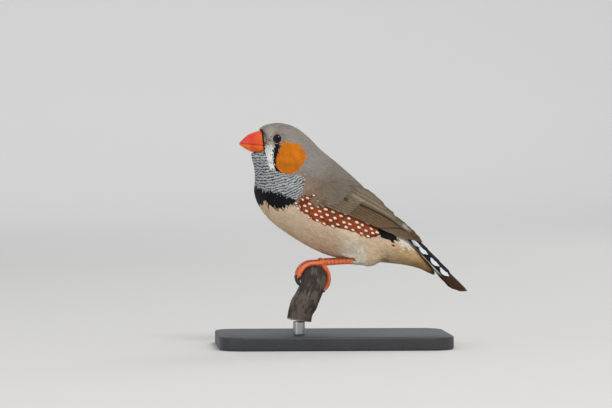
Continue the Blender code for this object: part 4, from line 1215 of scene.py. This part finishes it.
def vane_shape(surface, root, tip, width, lift, rng, point, slim=0.0, bend=0.0):
    """Points of one stiff feather between two places of a surface, its shaft a little proud."""
    t = np.linspace(0, 1, VANE_ROWS + 1)[:, None]
    u = VANE_COLUMNS[None]
    run = np.subtract(tip, root)
    length = np.hypot(*run)
    across = np.array((-run[1], run[0])) / length
    round_tip = np.sqrt(np.clip(1 - (np.clip(t - point, 0, 1) / (1 - point)) ** 2, 0, 1))
    half = width / 2 * np.clip(t / 0.22, 0, 1) ** 0.6 * (0.82 + 0.18 * t) * (0.06 + 0.94 * round_tip)
    half = np.maximum(half, 0.10)
    web = half * np.where(u < 0, 1 - slim, 1 + slim)
    nick = 0.02 * width * np.sin(37 * t + 5 * u + rng.uniform(0, 6)) * (np.abs(u) > 0.9) * (t < 0.95)
    off = u * web + nick - 4 * bend * t * (1 - t)
    along = t - 0.035 * (u ** 2) * (t > 0.9)
    a = root[0] + run[0] * along + across[0] * off
    b = root[1] + run[1] * along + across[1] * off
    rise = lift * (0.7 + 0.3 * np.minimum(1, 2 * t)) - 0.10 * u - 0.10 * u ** 2
    shaft = SHAFT_RISE * np.exp(-(u / 0.1) ** 2) * (1.1 - t)
    top = surface(a, b, rise + shaft)
    under = surface(a, b, rise - VANE_THICKNESS)
    points = np.concatenate((top.reshape(-1, 3), under[1:-1, 1:-1].reshape(-1, 3)))
    vane = np.stack(np.broadcast_arrays((u + 1) / 2, t), axis=-1)
    reach = np.stack(np.broadcast_arrays(off, along * length), axis=-1)
    place = [np.concatenate((v.reshape(-1, 2), v[1:-1, 1:-1].reshape(-1, 2))) for v in (vane, reach)]
    return points, place[0], place[1]


def vane_piece(name, feathers, mirrored):
    """One mesh of stiff feathers; each is its points, vane places, reaches and colours."""
    faces, _ = lens(VANE_ROWS, len(VANE_COLUMNS) - 1)
    if mirrored:
        faces = faces[:, ::-1]
    each = len(feathers[0][0])
    points = np.concatenate([feather[0] for feather in feathers])
    all_faces = np.concatenate([faces + each * number for number in range(len(feathers))])
    piece = mesh_piece(name, points, all_faces)
    select_only(piece)
    bpy.ops.object.shade_smooth_by_angle(angle=math.radians(60))
    corner_map(piece, "Vane", np.concatenate([feather[1] for feather in feathers]))
    strips = [np.stack(((number + 0.05 + 0.9 * feather[1][:, 0]) / len(feathers),
                        0.02 + 0.96 * feather[1][:, 1]), axis=1)
              for number, feather in enumerate(feathers)]
    corner_map(piece, "OFBake", np.concatenate(strips))
    reaches = np.concatenate([feather[2] for feather in feathers])
    point_values(piece, "span", reaches[:, 0])
    point_values(piece, "reach", reaches[:, 1])
    point_values(piece, "plumage", np.concatenate([feather[3] for feather in feathers]))
    if len(feathers[0]) > 4:
        point_values(piece, "oval", np.concatenate([feather[4] for feather in feathers]))
    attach(piece, "root")
    return piece


def vane_material(piece, name, shaft_tone=0.6, spotted=False):
    """Firm keratin webs: satin, with fine slanting barbs and a darker polished shaft."""
    add = new_material(name, piece)
    tint = add("Attribute", attribute_name="plumage")
    span = add("Attribute", attribute_name="span")
    reach = add("Attribute", attribute_name="reach")
    place = add("TexCoord").outputs["Object"]
    off = add("Math", span.outputs["Fac"], operation="ABSOLUTE")
    waver = add("TexNoise", Vector=place, Scale=1 / (1.1 * MM), Detail=3.0)
    barbs = barb_waves(add, off, reach.outputs["Fac"], 1.15, math.tau / BARB_SPACING, waver, 0.22)
    comb = add("MapRange", barbs, -1.0, 1.0, 0.95, 1.04)
    cloud = add("MapRange", waver, 0.3, 0.7, 0.88, 1.12)
    shade = add("Math", comb, cloud, operation="MULTIPLY")
    colour = add("VectorMath", tint.outputs["Color"], Scale=shade, operation="SCALE")
    shaft = add("MapRange", off, 0.05, 0.13, shaft_tone, 0.0)
    colour = add("Mix", {0: shaft, 6: colour, 7: linear(SHAFT_COLOUR)}, data_type="RGBA")
    if spotted:
        oval = add("Attribute", attribute_name="oval")
        edge = add("Math", waver, 0.35, oval.outputs["Fac"], operation="MULTIPLY_ADD")
        edge = add("MapRange", edge, 1.12, 1.24, 1.0, 0.0)
        colour = add("Mix", {0: edge, 6: colour.outputs[2], 7: linear(OVAL_SPOT)}, data_type="RGBA")
    relief = add("Bump", Height=barbs, Strength=0.3, Distance=0.02 * MM)
    add("OutputMaterial", Surface=add(
        "BsdfPrincipled", Base_Color=colour.outputs[2], Roughness=0.66, Specular_IOR_Level=0.14,
        Normal=relief))


def ramp(values, start, run):
    """Nothing up to a start and one after a run from there."""
    return np.clip((values - start) / run, 0, 1)


def toned(colour, other, share):
    """Colours drawn toward one written as hex, by a share for each."""
    share = share[:, None]
    return colour * (1 - share) + np.array(linear(other)) * share


def wing_colour(vane, web, edge, margined, rng):
    """Brown webs with paler edges and darker inner halves; the lowest tertial has a dark margin, partly its
    own and partly a painted shadow along its lower edge.
    """
    u, t = vane[:, 0] * 2 - 1, vane[:, 1]
    colour = np.tile(linear(web), (len(u), 1))
    colour = toned(colour, edge, np.maximum(ramp(-u, 0.45, 0.5) * 0.8, ramp(t, 0.93, 0.06) * 0.7))
    colour = toned(colour, INNER_WEB, ramp(u, 0.2, 0.6) * 0.5)
    if margined:
        # Painted shadow along the lower edge of the lowest tertial, over its own dark margin.
        colour = toned(colour, DARK_MARGIN_AND_SHADOW, ramp(-u, 0.62, 0.12))
    colour[:, :3] *= rng.normal(1.0, 0.05)
    return colour


for side, label in SIDES:
    def surface(a, b, lift):
        return wing_surface(a, b, lift, side)

    rng_wing = np.random.default_rng(SEED + 5)
    feathers = []
    for tier, count, tier_roots, tier_tips, (width, lift, step, slim, point, bend, web, edge) in WING_TIERS:
        for number in range(count):
            share = number / (count - 1)
            root = [a + (b - a) * share for a, b in zip(*tier_roots)]
            tip = [a + (b - a) * share for a, b in zip(*tier_tips)]
            shape = vane_shape(surface, root, tip, width, lift + step * number, rng_wing, point, slim, bend)
            colour = wing_colour(shape[1], web, edge, tier == "tertial" and number == 0, rng_wing)
            for line, spread, mark, strength in WING_MARKS:
                near = np.clip(1.4 - near_line(line, *side_view(shape[0])) / spread, 0, 1) * strength
                colour += (np.array(linear(mark)) - colour) * near[:, None]
            feathers.append(shape + (colour,))
    wing = vane_piece("wing_feathers_" + label, feathers, side > 0)
    vane_material(wing, "Brown flight feathers " + label)
    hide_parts("wing_" + label)

# Tail
# Twelve stiff tail feathers fold over one another like a roof, and over their roots lie the black
# coverts, the outer ones ending in large white oval spots, that give the barred look.
TAIL_ROOT = (24.5, 15.6)
TAIL_TIP = (50.6, -9.9)
TAIL_HALF_WIDTH = 4.7
TAIL_DROP = 3.4
TAIL_PAIRS = 6
TAIL_WIDTH = 3.4
TAIL_INNER = 0.75
COVERT_TIPS = (11.9, 15.9, 22.0, 27.2)
COVERT_OFFS = (0.9, 2.7)
COVERT_LENGTH = 13.0
COVERT_WIDTH = 3.3
SPOT_BACK = 2.4
SPOT_HALF = (0.84, 2.35)
TAIL_WEB = "2c1c0e"
TAIL_EDGE = "63492f"
TAIL_STREAK = "c9c2b6"
COVERT_WEB = "131110"


def tail_surface(along, across, lift):
    """Points above the roof of the tail, from distances along it and to one side."""
    run = np.subtract(TAIL_TIP, TAIL_ROOT)
    run = run / np.hypot(*run)
    rise = lift - TAIL_DROP * (np.abs(across) / TAIL_HALF_WIDTH) ** 1.4
    return np.stack((TAIL_ROOT[0] + run[0] * along - run[1] * rise, across + 0 * along,
                     TAIL_ROOT[1] + run[1] * along + run[0] * rise), axis=-1)


tail_length = math.hypot(TAIL_TIP[0] - TAIL_ROOT[0], TAIL_TIP[1] - TAIL_ROOT[1])
rectrices, coverts = [], []
rng_tail = np.random.default_rng(SEED + 9)
for side, _ in SIDES:
    for pair in range(TAIL_PAIRS):
        share = pair / (TAIL_PAIRS - 1)
        off = TAIL_INNER + (TAIL_HALF_WIDTH - TAIL_WIDTH / 2 - TAIL_INNER) * share
        tip = (tail_length - 0.4 - 1.9 * share ** 1.5, side * off)
        shape = vane_shape(tail_surface, (1.0, side * off * 0.5), tip, TAIL_WIDTH,
                           0.12 - 0.1 * pair - 0.02 * (side > 0), rng_tail, point=0.86)
        u, t = shape[1][:, 0] * 2 - 1, shape[1][:, 1]
        rim = np.maximum(ramp(np.abs(u), 0.72, 0.25) * 0.5, ramp(t, 0.93, 0.07) * 0.8)
        colour = toned(np.tile(linear(TAIL_WEB), (len(u), 1)), TAIL_EDGE, rim)
        if pair == TAIL_PAIRS - 1:
            colour = toned(colour, TAIL_STREAK, ramp(u * side, 0.45, 0.2) * ramp(-t, -0.72, 0.06))
        rectrices.append(shape + (colour,))
    for tier, reach in enumerate(COVERT_TIPS):
        for off in COVERT_OFFS:
            shape = vane_shape(tail_surface, (max(0.5, reach - COVERT_LENGTH), side * off * 0.8),
                               (reach - 0.6 * (off < 2), side * off), COVERT_WIDTH,
                               0.95 - 0.13 * tier + 0.03 * (side > 0) - 0.05 * off, rng_tail, point=0.72)
            u, t = shape[1][:, 0] * 2 - 1, shape[1][:, 1]
            from_tip = (1 - t) * shape[2][:, 1].max()
            oval = np.hypot((u * side - 0.12) / SPOT_HALF[0], (from_tip - SPOT_BACK) / SPOT_HALF[1])
            oval += 3.0 * (off < 2)
            coverts.append(shape + (np.tile(linear(COVERT_WEB), (len(u), 1)), oval))
tail = vane_piece("tail_feathers", rectrices, False)
vane_material(tail, "Blackish tail feathers")
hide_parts("tail")
tail_coverts = vane_piece("tail_coverts", coverts, False)
vane_material(tail_coverts, "Black feathers with white spots", 0.1, spotted=True)

# Eyes
# A glossy dark ball with a thin brown iris, as a museum's glass eye, set back in a ring of small
# bare beads of grey skin.
EYE_RADIUS = 2.1
EYE_OPENING = 1.56
LID_BAR = 0.21
LID_BEADS = 30
LID_SEAT = 0.88
EYE_GAZE = (-0.28, 0.12)
PUPIL_EDGE = 34.0 / 90
IRIS_STOPS = ((0.0, "030202"), (PUPIL_EDGE, "040303"), (PUPIL_EDGE + 0.04, "27110a"), (0.46, "351a0f"),
              (0.50, "0c0706"))
for side, label in SIDES:
    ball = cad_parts["eye_" + label]
    spots = [ball.matrix_world @ v.co for v in ball.data.vertices]
    centre = sum(spots, Vector()) / len(spots)
    outward = Vector((EYE_GAZE[0], side, EYE_GAZE[1])).normalized()
    turn = outward.to_track_quat("Z", "Y")
    bpy.ops.object.select_all(action="DESELECT")
    bpy.ops.mesh.primitive_uv_sphere_add(segments=48, ring_count=32, radius=EYE_RADIUS * MM,
                                         location=centre, rotation=turn.to_euler())
    eye = bpy.context.object
    eye.name = "eyeball_" + label
    bpy.ops.object.transform_apply(location=True, rotation=True, scale=True)
    bpy.ops.object.shade_smooth()
    looks = (vectors_of(eye) - np.array(centre)) @ np.array(outward) / (EYE_RADIUS * MM)
    point_values(eye, "from_pupil", np.degrees(np.arccos(looks.clip(-1, 1))) / 90)
    add = new_material("Glass eye " + label, eye)
    ring = add("Attribute", attribute_name="from_pupil")
    iris = add("ValToRGB", Fac=ring.outputs["Fac"], stops=IRIS_STOPS)
    add("OutputMaterial", Surface=add(
        "BsdfPrincipled", Base_Color=iris, Roughness=0.2, Specular_IOR_Level=0.0, Coat_Weight=0.55,
        Coat_Roughness=0.02, Coat_IOR=1.5))
    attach(eye, "root")
    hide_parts("eye_" + label)

    seat = centre + outward * math.sqrt(EYE_RADIUS ** 2 - EYE_OPENING ** 2) * MM * LID_SEAT
    bpy.ops.object.select_all(action="DESELECT")
    bpy.ops.mesh.primitive_torus_add(major_segments=LID_BEADS * 4, minor_segments=12,
                                     major_radius=(EYE_OPENING + LID_BAR) * MM, minor_radius=LID_BAR * MM,
                                     location=seat, rotation=turn.to_euler())
    lid = bpy.context.object
    lid.name = "eyelid_" + label
    bpy.ops.object.transform_apply(location=True, rotation=True, scale=True)
    first = outward.cross(Vector((0, 0, 1))).normalized()
    second = outward.cross(first)
    for corner in lid.data.vertices:
        off = corner.co - seat
        angle = math.atan2(off.dot(second), off.dot(first))
        flat_off = (off - outward * off.dot(outward)).normalized() * (EYE_OPENING + LID_BAR) * MM
        bead = 0.90 + 0.16 * abs(math.cos(angle * LID_BEADS / 2))
        corner.co = seat + flat_off + (off - flat_off) * bead
    bpy.ops.object.shade_smooth()
    add = new_material("Bare grey lid skin " + label, lid)
    place = add("TexCoord").outputs["Object"]
    pores = add("TexVoronoi", Vector=place, Scale=1 / (0.22 * MM))
    tone = add("ValToRGB", Fac=pores.outputs["Distance"], stops=((0.0, "c2bbb2"), (0.7, "8f877f")))
    relief = add("Bump", Height=pores.outputs["Distance"], Strength=0.4, Distance=-0.05 * MM)
    add("OutputMaterial", Surface=add("BsdfPrincipled", Base_Color=tone, Roughness=0.55, Normal=relief))
    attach(lid, "root")

# Bill
# A short deep cone of horn in two halves that meet along a downcurved mouth line. The horn is
# waxy, red above and orange below, with fine growth lines toward the tip.
BILL_VOXEL = 0.13
NOSTRIL = (-27.1, 49.0)
NOSTRIL_RADIUS = 0.24
BILL_SWELL = 0.14
LINING_SWELL = 0.2
LINING_INSET = 0.42
# The mouth lining is dark red, partly its own colour and partly painted shade of the slit between the two
# halves of the bill.
LINING_AND_SLIT_SHADE = "6e2212"
HORN_BASE_X = (-30.0, -26.2)
HORN_BASE = "f07428"
# The nostril is painted dark, as painted shade in its small opening.
NOSTRIL_SHADE_COLOUR = "5a160e"
HORNS = (("bill_upper", "ea4f35", "cf3320"), ("bill_lower", "fb741c", "e84f12"))


def smooth_copy(name, nodes, voxel, passes, swell=0.0):
    """A finer rounded copy of some nodes of the frame, swollen a little to close their gaps."""
    piece = welded_copy(name, nodes)
    if swell:
        with_modifier(piece, "DISPLACE", strength=swell * MM, mid_level=0.0)
    with_modifier(piece, "REMESH", mode="VOXEL", voxel_size=voxel * MM)
    with_modifier(piece, "SMOOTH", factor=0.5, iterations=passes)
    select_only(piece)
    bpy.ops.object.shade_smooth()
    return piece


lining = smooth_copy("mouth_lining", ("bill_upper", "bill_lower"), BILL_VOXEL, 12, swell=LINING_SWELL)
slim_bill(lining)
with_modifier(lining, "DISPLACE", strength=-LINING_INSET * MM, mid_level=0.0)
# Dark red lining, partly painted shade of the slit between the halves.
add = new_material("Mouth lining", lining)
add("OutputMaterial", Surface=add("BsdfPrincipled", Base_Color=linear(LINING_AND_SLIT_SHADE), Roughness=0.6))
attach(lining, "root")
for node, light, deep in HORNS:
    horn = smooth_copy(node.replace("bill", "horn"), (node,), BILL_VOXEL, 8, swell=BILL_SWELL)
    slim_bill(horn)
    points = to_mm(vectors_of(horn))
    from_nostril = np.hypot(points[:, 0] - NOSTRIL[0], points[:, 2] - NOSTRIL[1])
    point_values(horn, "nostril", np.clip(1.5 - from_nostril / NOSTRIL_RADIUS, 0, 1))
    add = new_material("Waxy bill horn " + node, horn)
    place = add("TexCoord").outputs["Object"]
    line = add("Mapping", Vector=place, Scale=(90.0, 900.0, 900.0))
    growth = add("TexNoise", Vector=line, Scale=1.0, Detail=4.0)
    stain = add("TexNoise", Vector=place, Scale=1 / (3.2 * MM), Detail=2.0)
    mixed = add("Math", growth, 0.4, stain, operation="MULTIPLY_ADD")
    tone = add("ValToRGB", Fac=mixed, stops=((0.55, deep), (0.82, light)))
    split = add("SeparateXYZ", Vector=place)
    base = add("MapRange", split, HORN_BASE_X[0] * MM, HORN_BASE_X[1] * MM, 0.0, 0.55)
    tone = add("Mix", {0: base, 6: tone, 7: linear(HORN_BASE)}, data_type="RGBA")
    # Painted shade in the opening of the nostril.
    opening = add("Attribute", attribute_name="nostril")
    tone = add("Mix", {0: opening.outputs["Fac"], 6: tone.outputs[2], 7: linear(NOSTRIL_SHADE_COLOUR)},
               data_type="RGBA")
    relief = add("Bump", Height=growth, Strength=0.25, Distance=0.05 * MM)
    add("OutputMaterial", Surface=add(
        "BsdfPrincipled", Base_Color=tone.outputs[2], Roughness=0.36, Specular_IOR_Level=0.35,
        Subsurface_Weight=0.12, Subsurface_Scale=0.6 * MM, Normal=relief))
    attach(horn, "root")
    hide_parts(node)

# Legs and feet
# Thin orange legs of bone and tendon under a dry skin of overlapping scutes: a row of short plates
# down the front of each shank and one on the back of each toe joint.
LEG_VOXEL = 0.16
TWIG_X = -7.5
TWIG_RADIUS = 4.6
ANKLE = (7.6, 1.9)
FOOT_HUB = (-4.2, 1.25)
SHANK_SCUTE = 1.45
TOE_SCUTE = 0.80
SCUTE_RISE = 0.05
LEG_SWELL = 0.17
for label in ("left", "right"):
    limb = smooth_copy("leg_" + label, ("shank_" + label, "foot_" + label), LEG_VOXEL, 5, swell=LEG_SWELL)
    points = to_mm(vectors_of(limb))
    run = np.subtract(FOOT_HUB, ANKLE)
    up_shank = ((points[:, (0, 2)] - ANKLE) @ run) / np.hypot(*run) / SHANK_SCUTE
    off = points[:, (0, 2)] - (TWIG_X, -TWIG_RADIUS)
    round_twig = np.abs(np.arctan2(off[:, 0] - 2.0, off[:, 1])) * (TWIG_RADIUS + 1.0) / TOE_SCUTE
    share = np.where(points[:, 0] > FOOT_HUB[0] + 0.8, 40 + up_shank, 40 + round_twig) % 1.0
    ridge = np.clip(share / 0.85, 0, 1) * np.clip((1 - share) / 0.15, 0, 1)
    put_points(limb, points + vectors_of(limb, "normal") * (ridge * SCUTE_RISE)[:, None])
    point_values(limb, "scute", ridge)
    add = new_material("Dry orange leg skin " + label, limb)
    scute_shade = add("Attribute", attribute_name="scute")
    place = add("TexCoord").outputs["Object"]
    crease = add("TexNoise", Vector=place, Scale=1 / (0.5 * MM), Detail=4.0)
    # The raised end of each scute is painted lighter and the crease behind it darker, as painted shade.
    tone = add("Math", scute_shade.outputs["Fac"], 0.45, crease, operation="MULTIPLY_ADD")
    tone = add("ValToRGB", Fac=tone, stops=((0.35, "cc5229"), (0.62, "ec7141"), (1.0, "f98f62")))
    relief = add("Bump", Height=crease, Strength=0.3, Distance=0.05 * MM)
    add("OutputMaterial", Surface=add(
        "BsdfPrincipled", Base_Color=tone, Roughness=0.5, Specular_IOR_Level=0.4, Normal=relief))
    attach(limb, "root")
    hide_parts("shank_" + label, "foot_" + label)

# Claws
# Eight small curved horns of dark keratin, polished, with faint paler streaks.
CLAW_VOXEL = 0.09
for label in ("left", "right"):
    for number in range(1, 5):
        node = f"claw_{label}_{number}"
        claw = smooth_copy(f"horn_{node}", (node,), CLAW_VOXEL, 4)
        add = new_material("Dark claw horn " + node, claw)
        place = add("TexCoord").outputs["Object"]
        streak = add("TexNoise", Vector=place, Scale=1 / (0.4 * MM), Detail=3.0)
        tone = add("ValToRGB", Fac=streak, stops=((0.3, "1e1a17"), (0.75, "4a3d33")))
        add("OutputMaterial", Surface=add(
            "BsdfPrincipled", Base_Color=tone, Roughness=0.28, Specular_IOR_Level=0.5))
        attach(claw, "root")
        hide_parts(node)

# Twig
# A cut length of dead hardwood with its thin grey-brown bark on, ridged lengthwise and split by
# fine cracks, sawn across at both ends, where the pale wood shows.
TWIG_VOXEL = 0.28
BARK_RISE = 0.16
BARK_MIDDLE = 0.25
GRAIN_STRETCH = 0.16
SAWN = 0.35
SAWN_EDGE = 0.2
SAWN_COLOUR = "b39a78"
TWIG_ROUTE = np.array(((-5.7, 15.5, -4.2), (-6.8, 10.5, -4.5), (-7.5, 5.0, -4.6), (-7.5, 0.0, -4.6),
                       (-7.5, -5.0, -4.6), (-7.5, -9.6, -4.7), (-8.8, -13.6, -7.4),
                       (-10.9, -15.6, -11.8), (-13.0, -16.3, -15.8), (-13.7, -16.4, -19.4)))
twig = smooth_copy("twig", ("perch",), TWIG_VOXEL, 5)
points = to_mm(vectors_of(twig))
route = TWIG_ROUTE
for _ in range(3):
    quarters = [near * route[:-1] + (1 - near) * route[1:] for near in (0.75, 0.25)]
    route = np.concatenate((route[:1], np.stack(quarters, axis=1).reshape(-1, 3)[1:-1], route[-1:]))
along, off, run, length = beside(route, points)
side = np.cross(run, (1.0, 0.0, 0.0))
side /= np.linalg.norm(side, axis=1)[:, None]
grain = np.stack((off[:, 0], (off * side).sum(axis=1), along * GRAIN_STRETCH, np.ones(len(points))), axis=1)
rise = np.array([noise.noise(g * 0.9) + 0.5 * noise.noise(g * 2.2) for g in map(Vector, grain[:, :3])])
put_points(twig, points + vectors_of(twig, "normal") * (BARK_RISE * (rise - BARK_MIDDLE))[:, None])
point_values(twig, "grain", grain)
cut = np.maximum(SAWN - along, along - length + SAWN) / SAWN_EDGE
point_values(twig, "sawn", np.clip(cut, 0, 1))
add = new_material("Dead bark", twig)
place = add("TexCoord").outputs["Object"]
line = add("Attribute", attribute_name="grain")
ridges = add("TexNoise", Vector=line.outputs["Color"], Scale=1.3, Detail=6.0, Roughness=0.62)
cracks = add("TexNoise", Vector=line.outputs["Color"], Scale=0.7, Detail=2.0)
cracks = add("Math", cracks, 0.5, operation="SUBTRACT")
cracks = add("Math", cracks, operation="ABSOLUTE")
split_line = add("MapRange", cracks, 0.0, 0.02, 0.0, 1.0)
blotch = add("TexNoise", Vector=place, Scale=1 / (6.0 * MM), Detail=2.0)
tone = add("Math", ridges, 0.9, blotch, operation="MULTIPLY_ADD")
tone = add("ValToRGB", Fac=tone, stops=((0.62, "2a2523"), (0.95, "443e3a"), (1.28, "60584f")))
shade = add("MapRange", split_line, 0.0, 1.0, 0.6, 1.0)
colour = add("VectorMath", tone, Scale=shade, operation="SCALE")
sawn = add("Attribute", attribute_name="sawn")
colour = add("Mix", {0: sawn.outputs["Fac"], 6: colour, 7: linear(SAWN_COLOUR)}, data_type="RGBA")
height = add("Math", ridges, 0.8, split_line, operation="MULTIPLY_ADD")
relief = add("Bump", Height=height, Strength=0.7, Distance=0.25 * MM)
add("OutputMaterial", Surface=add(
    "BsdfPrincipled", Base_Color=colour.outputs[2], Roughness=0.88, Specular_IOR_Level=0.25, Normal=relief))
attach(twig, "root")
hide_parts("perch")

# Stand
# A low base of fibreboard, sanded and sprayed with a matt dark grey lacquer, with its edges eased,
# and a short satin steel rod pressed into it that carries the twig.
BASE_SIZE = (86.0, 54.0, 5.0)
BASE_CORNER = 9.0
BASE_EASE = 0.7
ROD_VOXEL = 0.2
STEEL_COLOUR = "b9bab8"
bpy.ops.object.select_all(action="DESELECT")
bpy.ops.mesh.primitive_cube_add(size=MM, location=(0, 0, BASE_SIZE[2] / 2 * MM))
base = bpy.context.object
base.name = "base_board"
base.scale = BASE_SIZE
bpy.ops.object.transform_apply(location=True, rotation=True, scale=True)
bpy.ops.object.mode_set(mode="EDIT")
bpy.ops.mesh.select_all(action="DESELECT")
bpy.ops.mesh.select_mode(type="EDGE")
bpy.ops.object.mode_set(mode="OBJECT")
for edge in base.data.edges:
    a, b = (base.data.vertices[i].co for i in edge.vertices)
    edge.select = abs(a.z - b.z) > BASE_SIZE[2] / 2 * MM
bpy.ops.object.mode_set(mode="EDIT")
bpy.ops.mesh.bevel(offset=BASE_CORNER * MM, segments=14)
bpy.ops.object.mode_set(mode="OBJECT")
with_modifier(base, "BEVEL", width=BASE_EASE * MM, segments=4, limit_method="ANGLE")
bpy.ops.object.shade_smooth_by_angle(angle=math.radians(30))
add = new_material("Matt grey lacquer on fibreboard", base)
place = add("TexCoord").outputs["Object"]
spray = add("TexNoise", Vector=place, Scale=1 / (0.35 * MM), Detail=3.0)
rough = add("MapRange", spray, 0.3, 0.7, 0.42, 0.58)
cloud = add("TexNoise", Vector=place, Scale=1 / (14.0 * MM), Detail=2.0)
tone = add("ValToRGB", Fac=cloud, stops=((0.3, "34363a"), (0.7, "3b3d41")))
relief = add("Bump", Height=spray, Strength=0.12, Distance=0.05 * MM)
add("OutputMaterial", Surface=add("BsdfPrincipled", Base_Color=tone, Roughness=rough, Normal=relief))
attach(base, "root")
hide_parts("stand_base")

rod = smooth_copy("steel_rod", ("stand_rod",), ROD_VOXEL, 4)
add = new_material("Satin steel", rod)
place = add("TexCoord").outputs["Object"]
line = add("Mapping", Vector=place, Scale=(1.0, 1.0, 12.0))
brush = add("TexNoise", Vector=line, Scale=1 / (2.0 * MM), Detail=3.0)
rough = add("MapRange", brush, 0.3, 0.7, 0.24, 0.38)
add("OutputMaterial", Surface=add(
    "BsdfPrincipled", Base_Color=linear(STEEL_COLOUR), Metallic=1.0, Roughness=rough))
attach(rod, "root")
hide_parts("stand_rod")
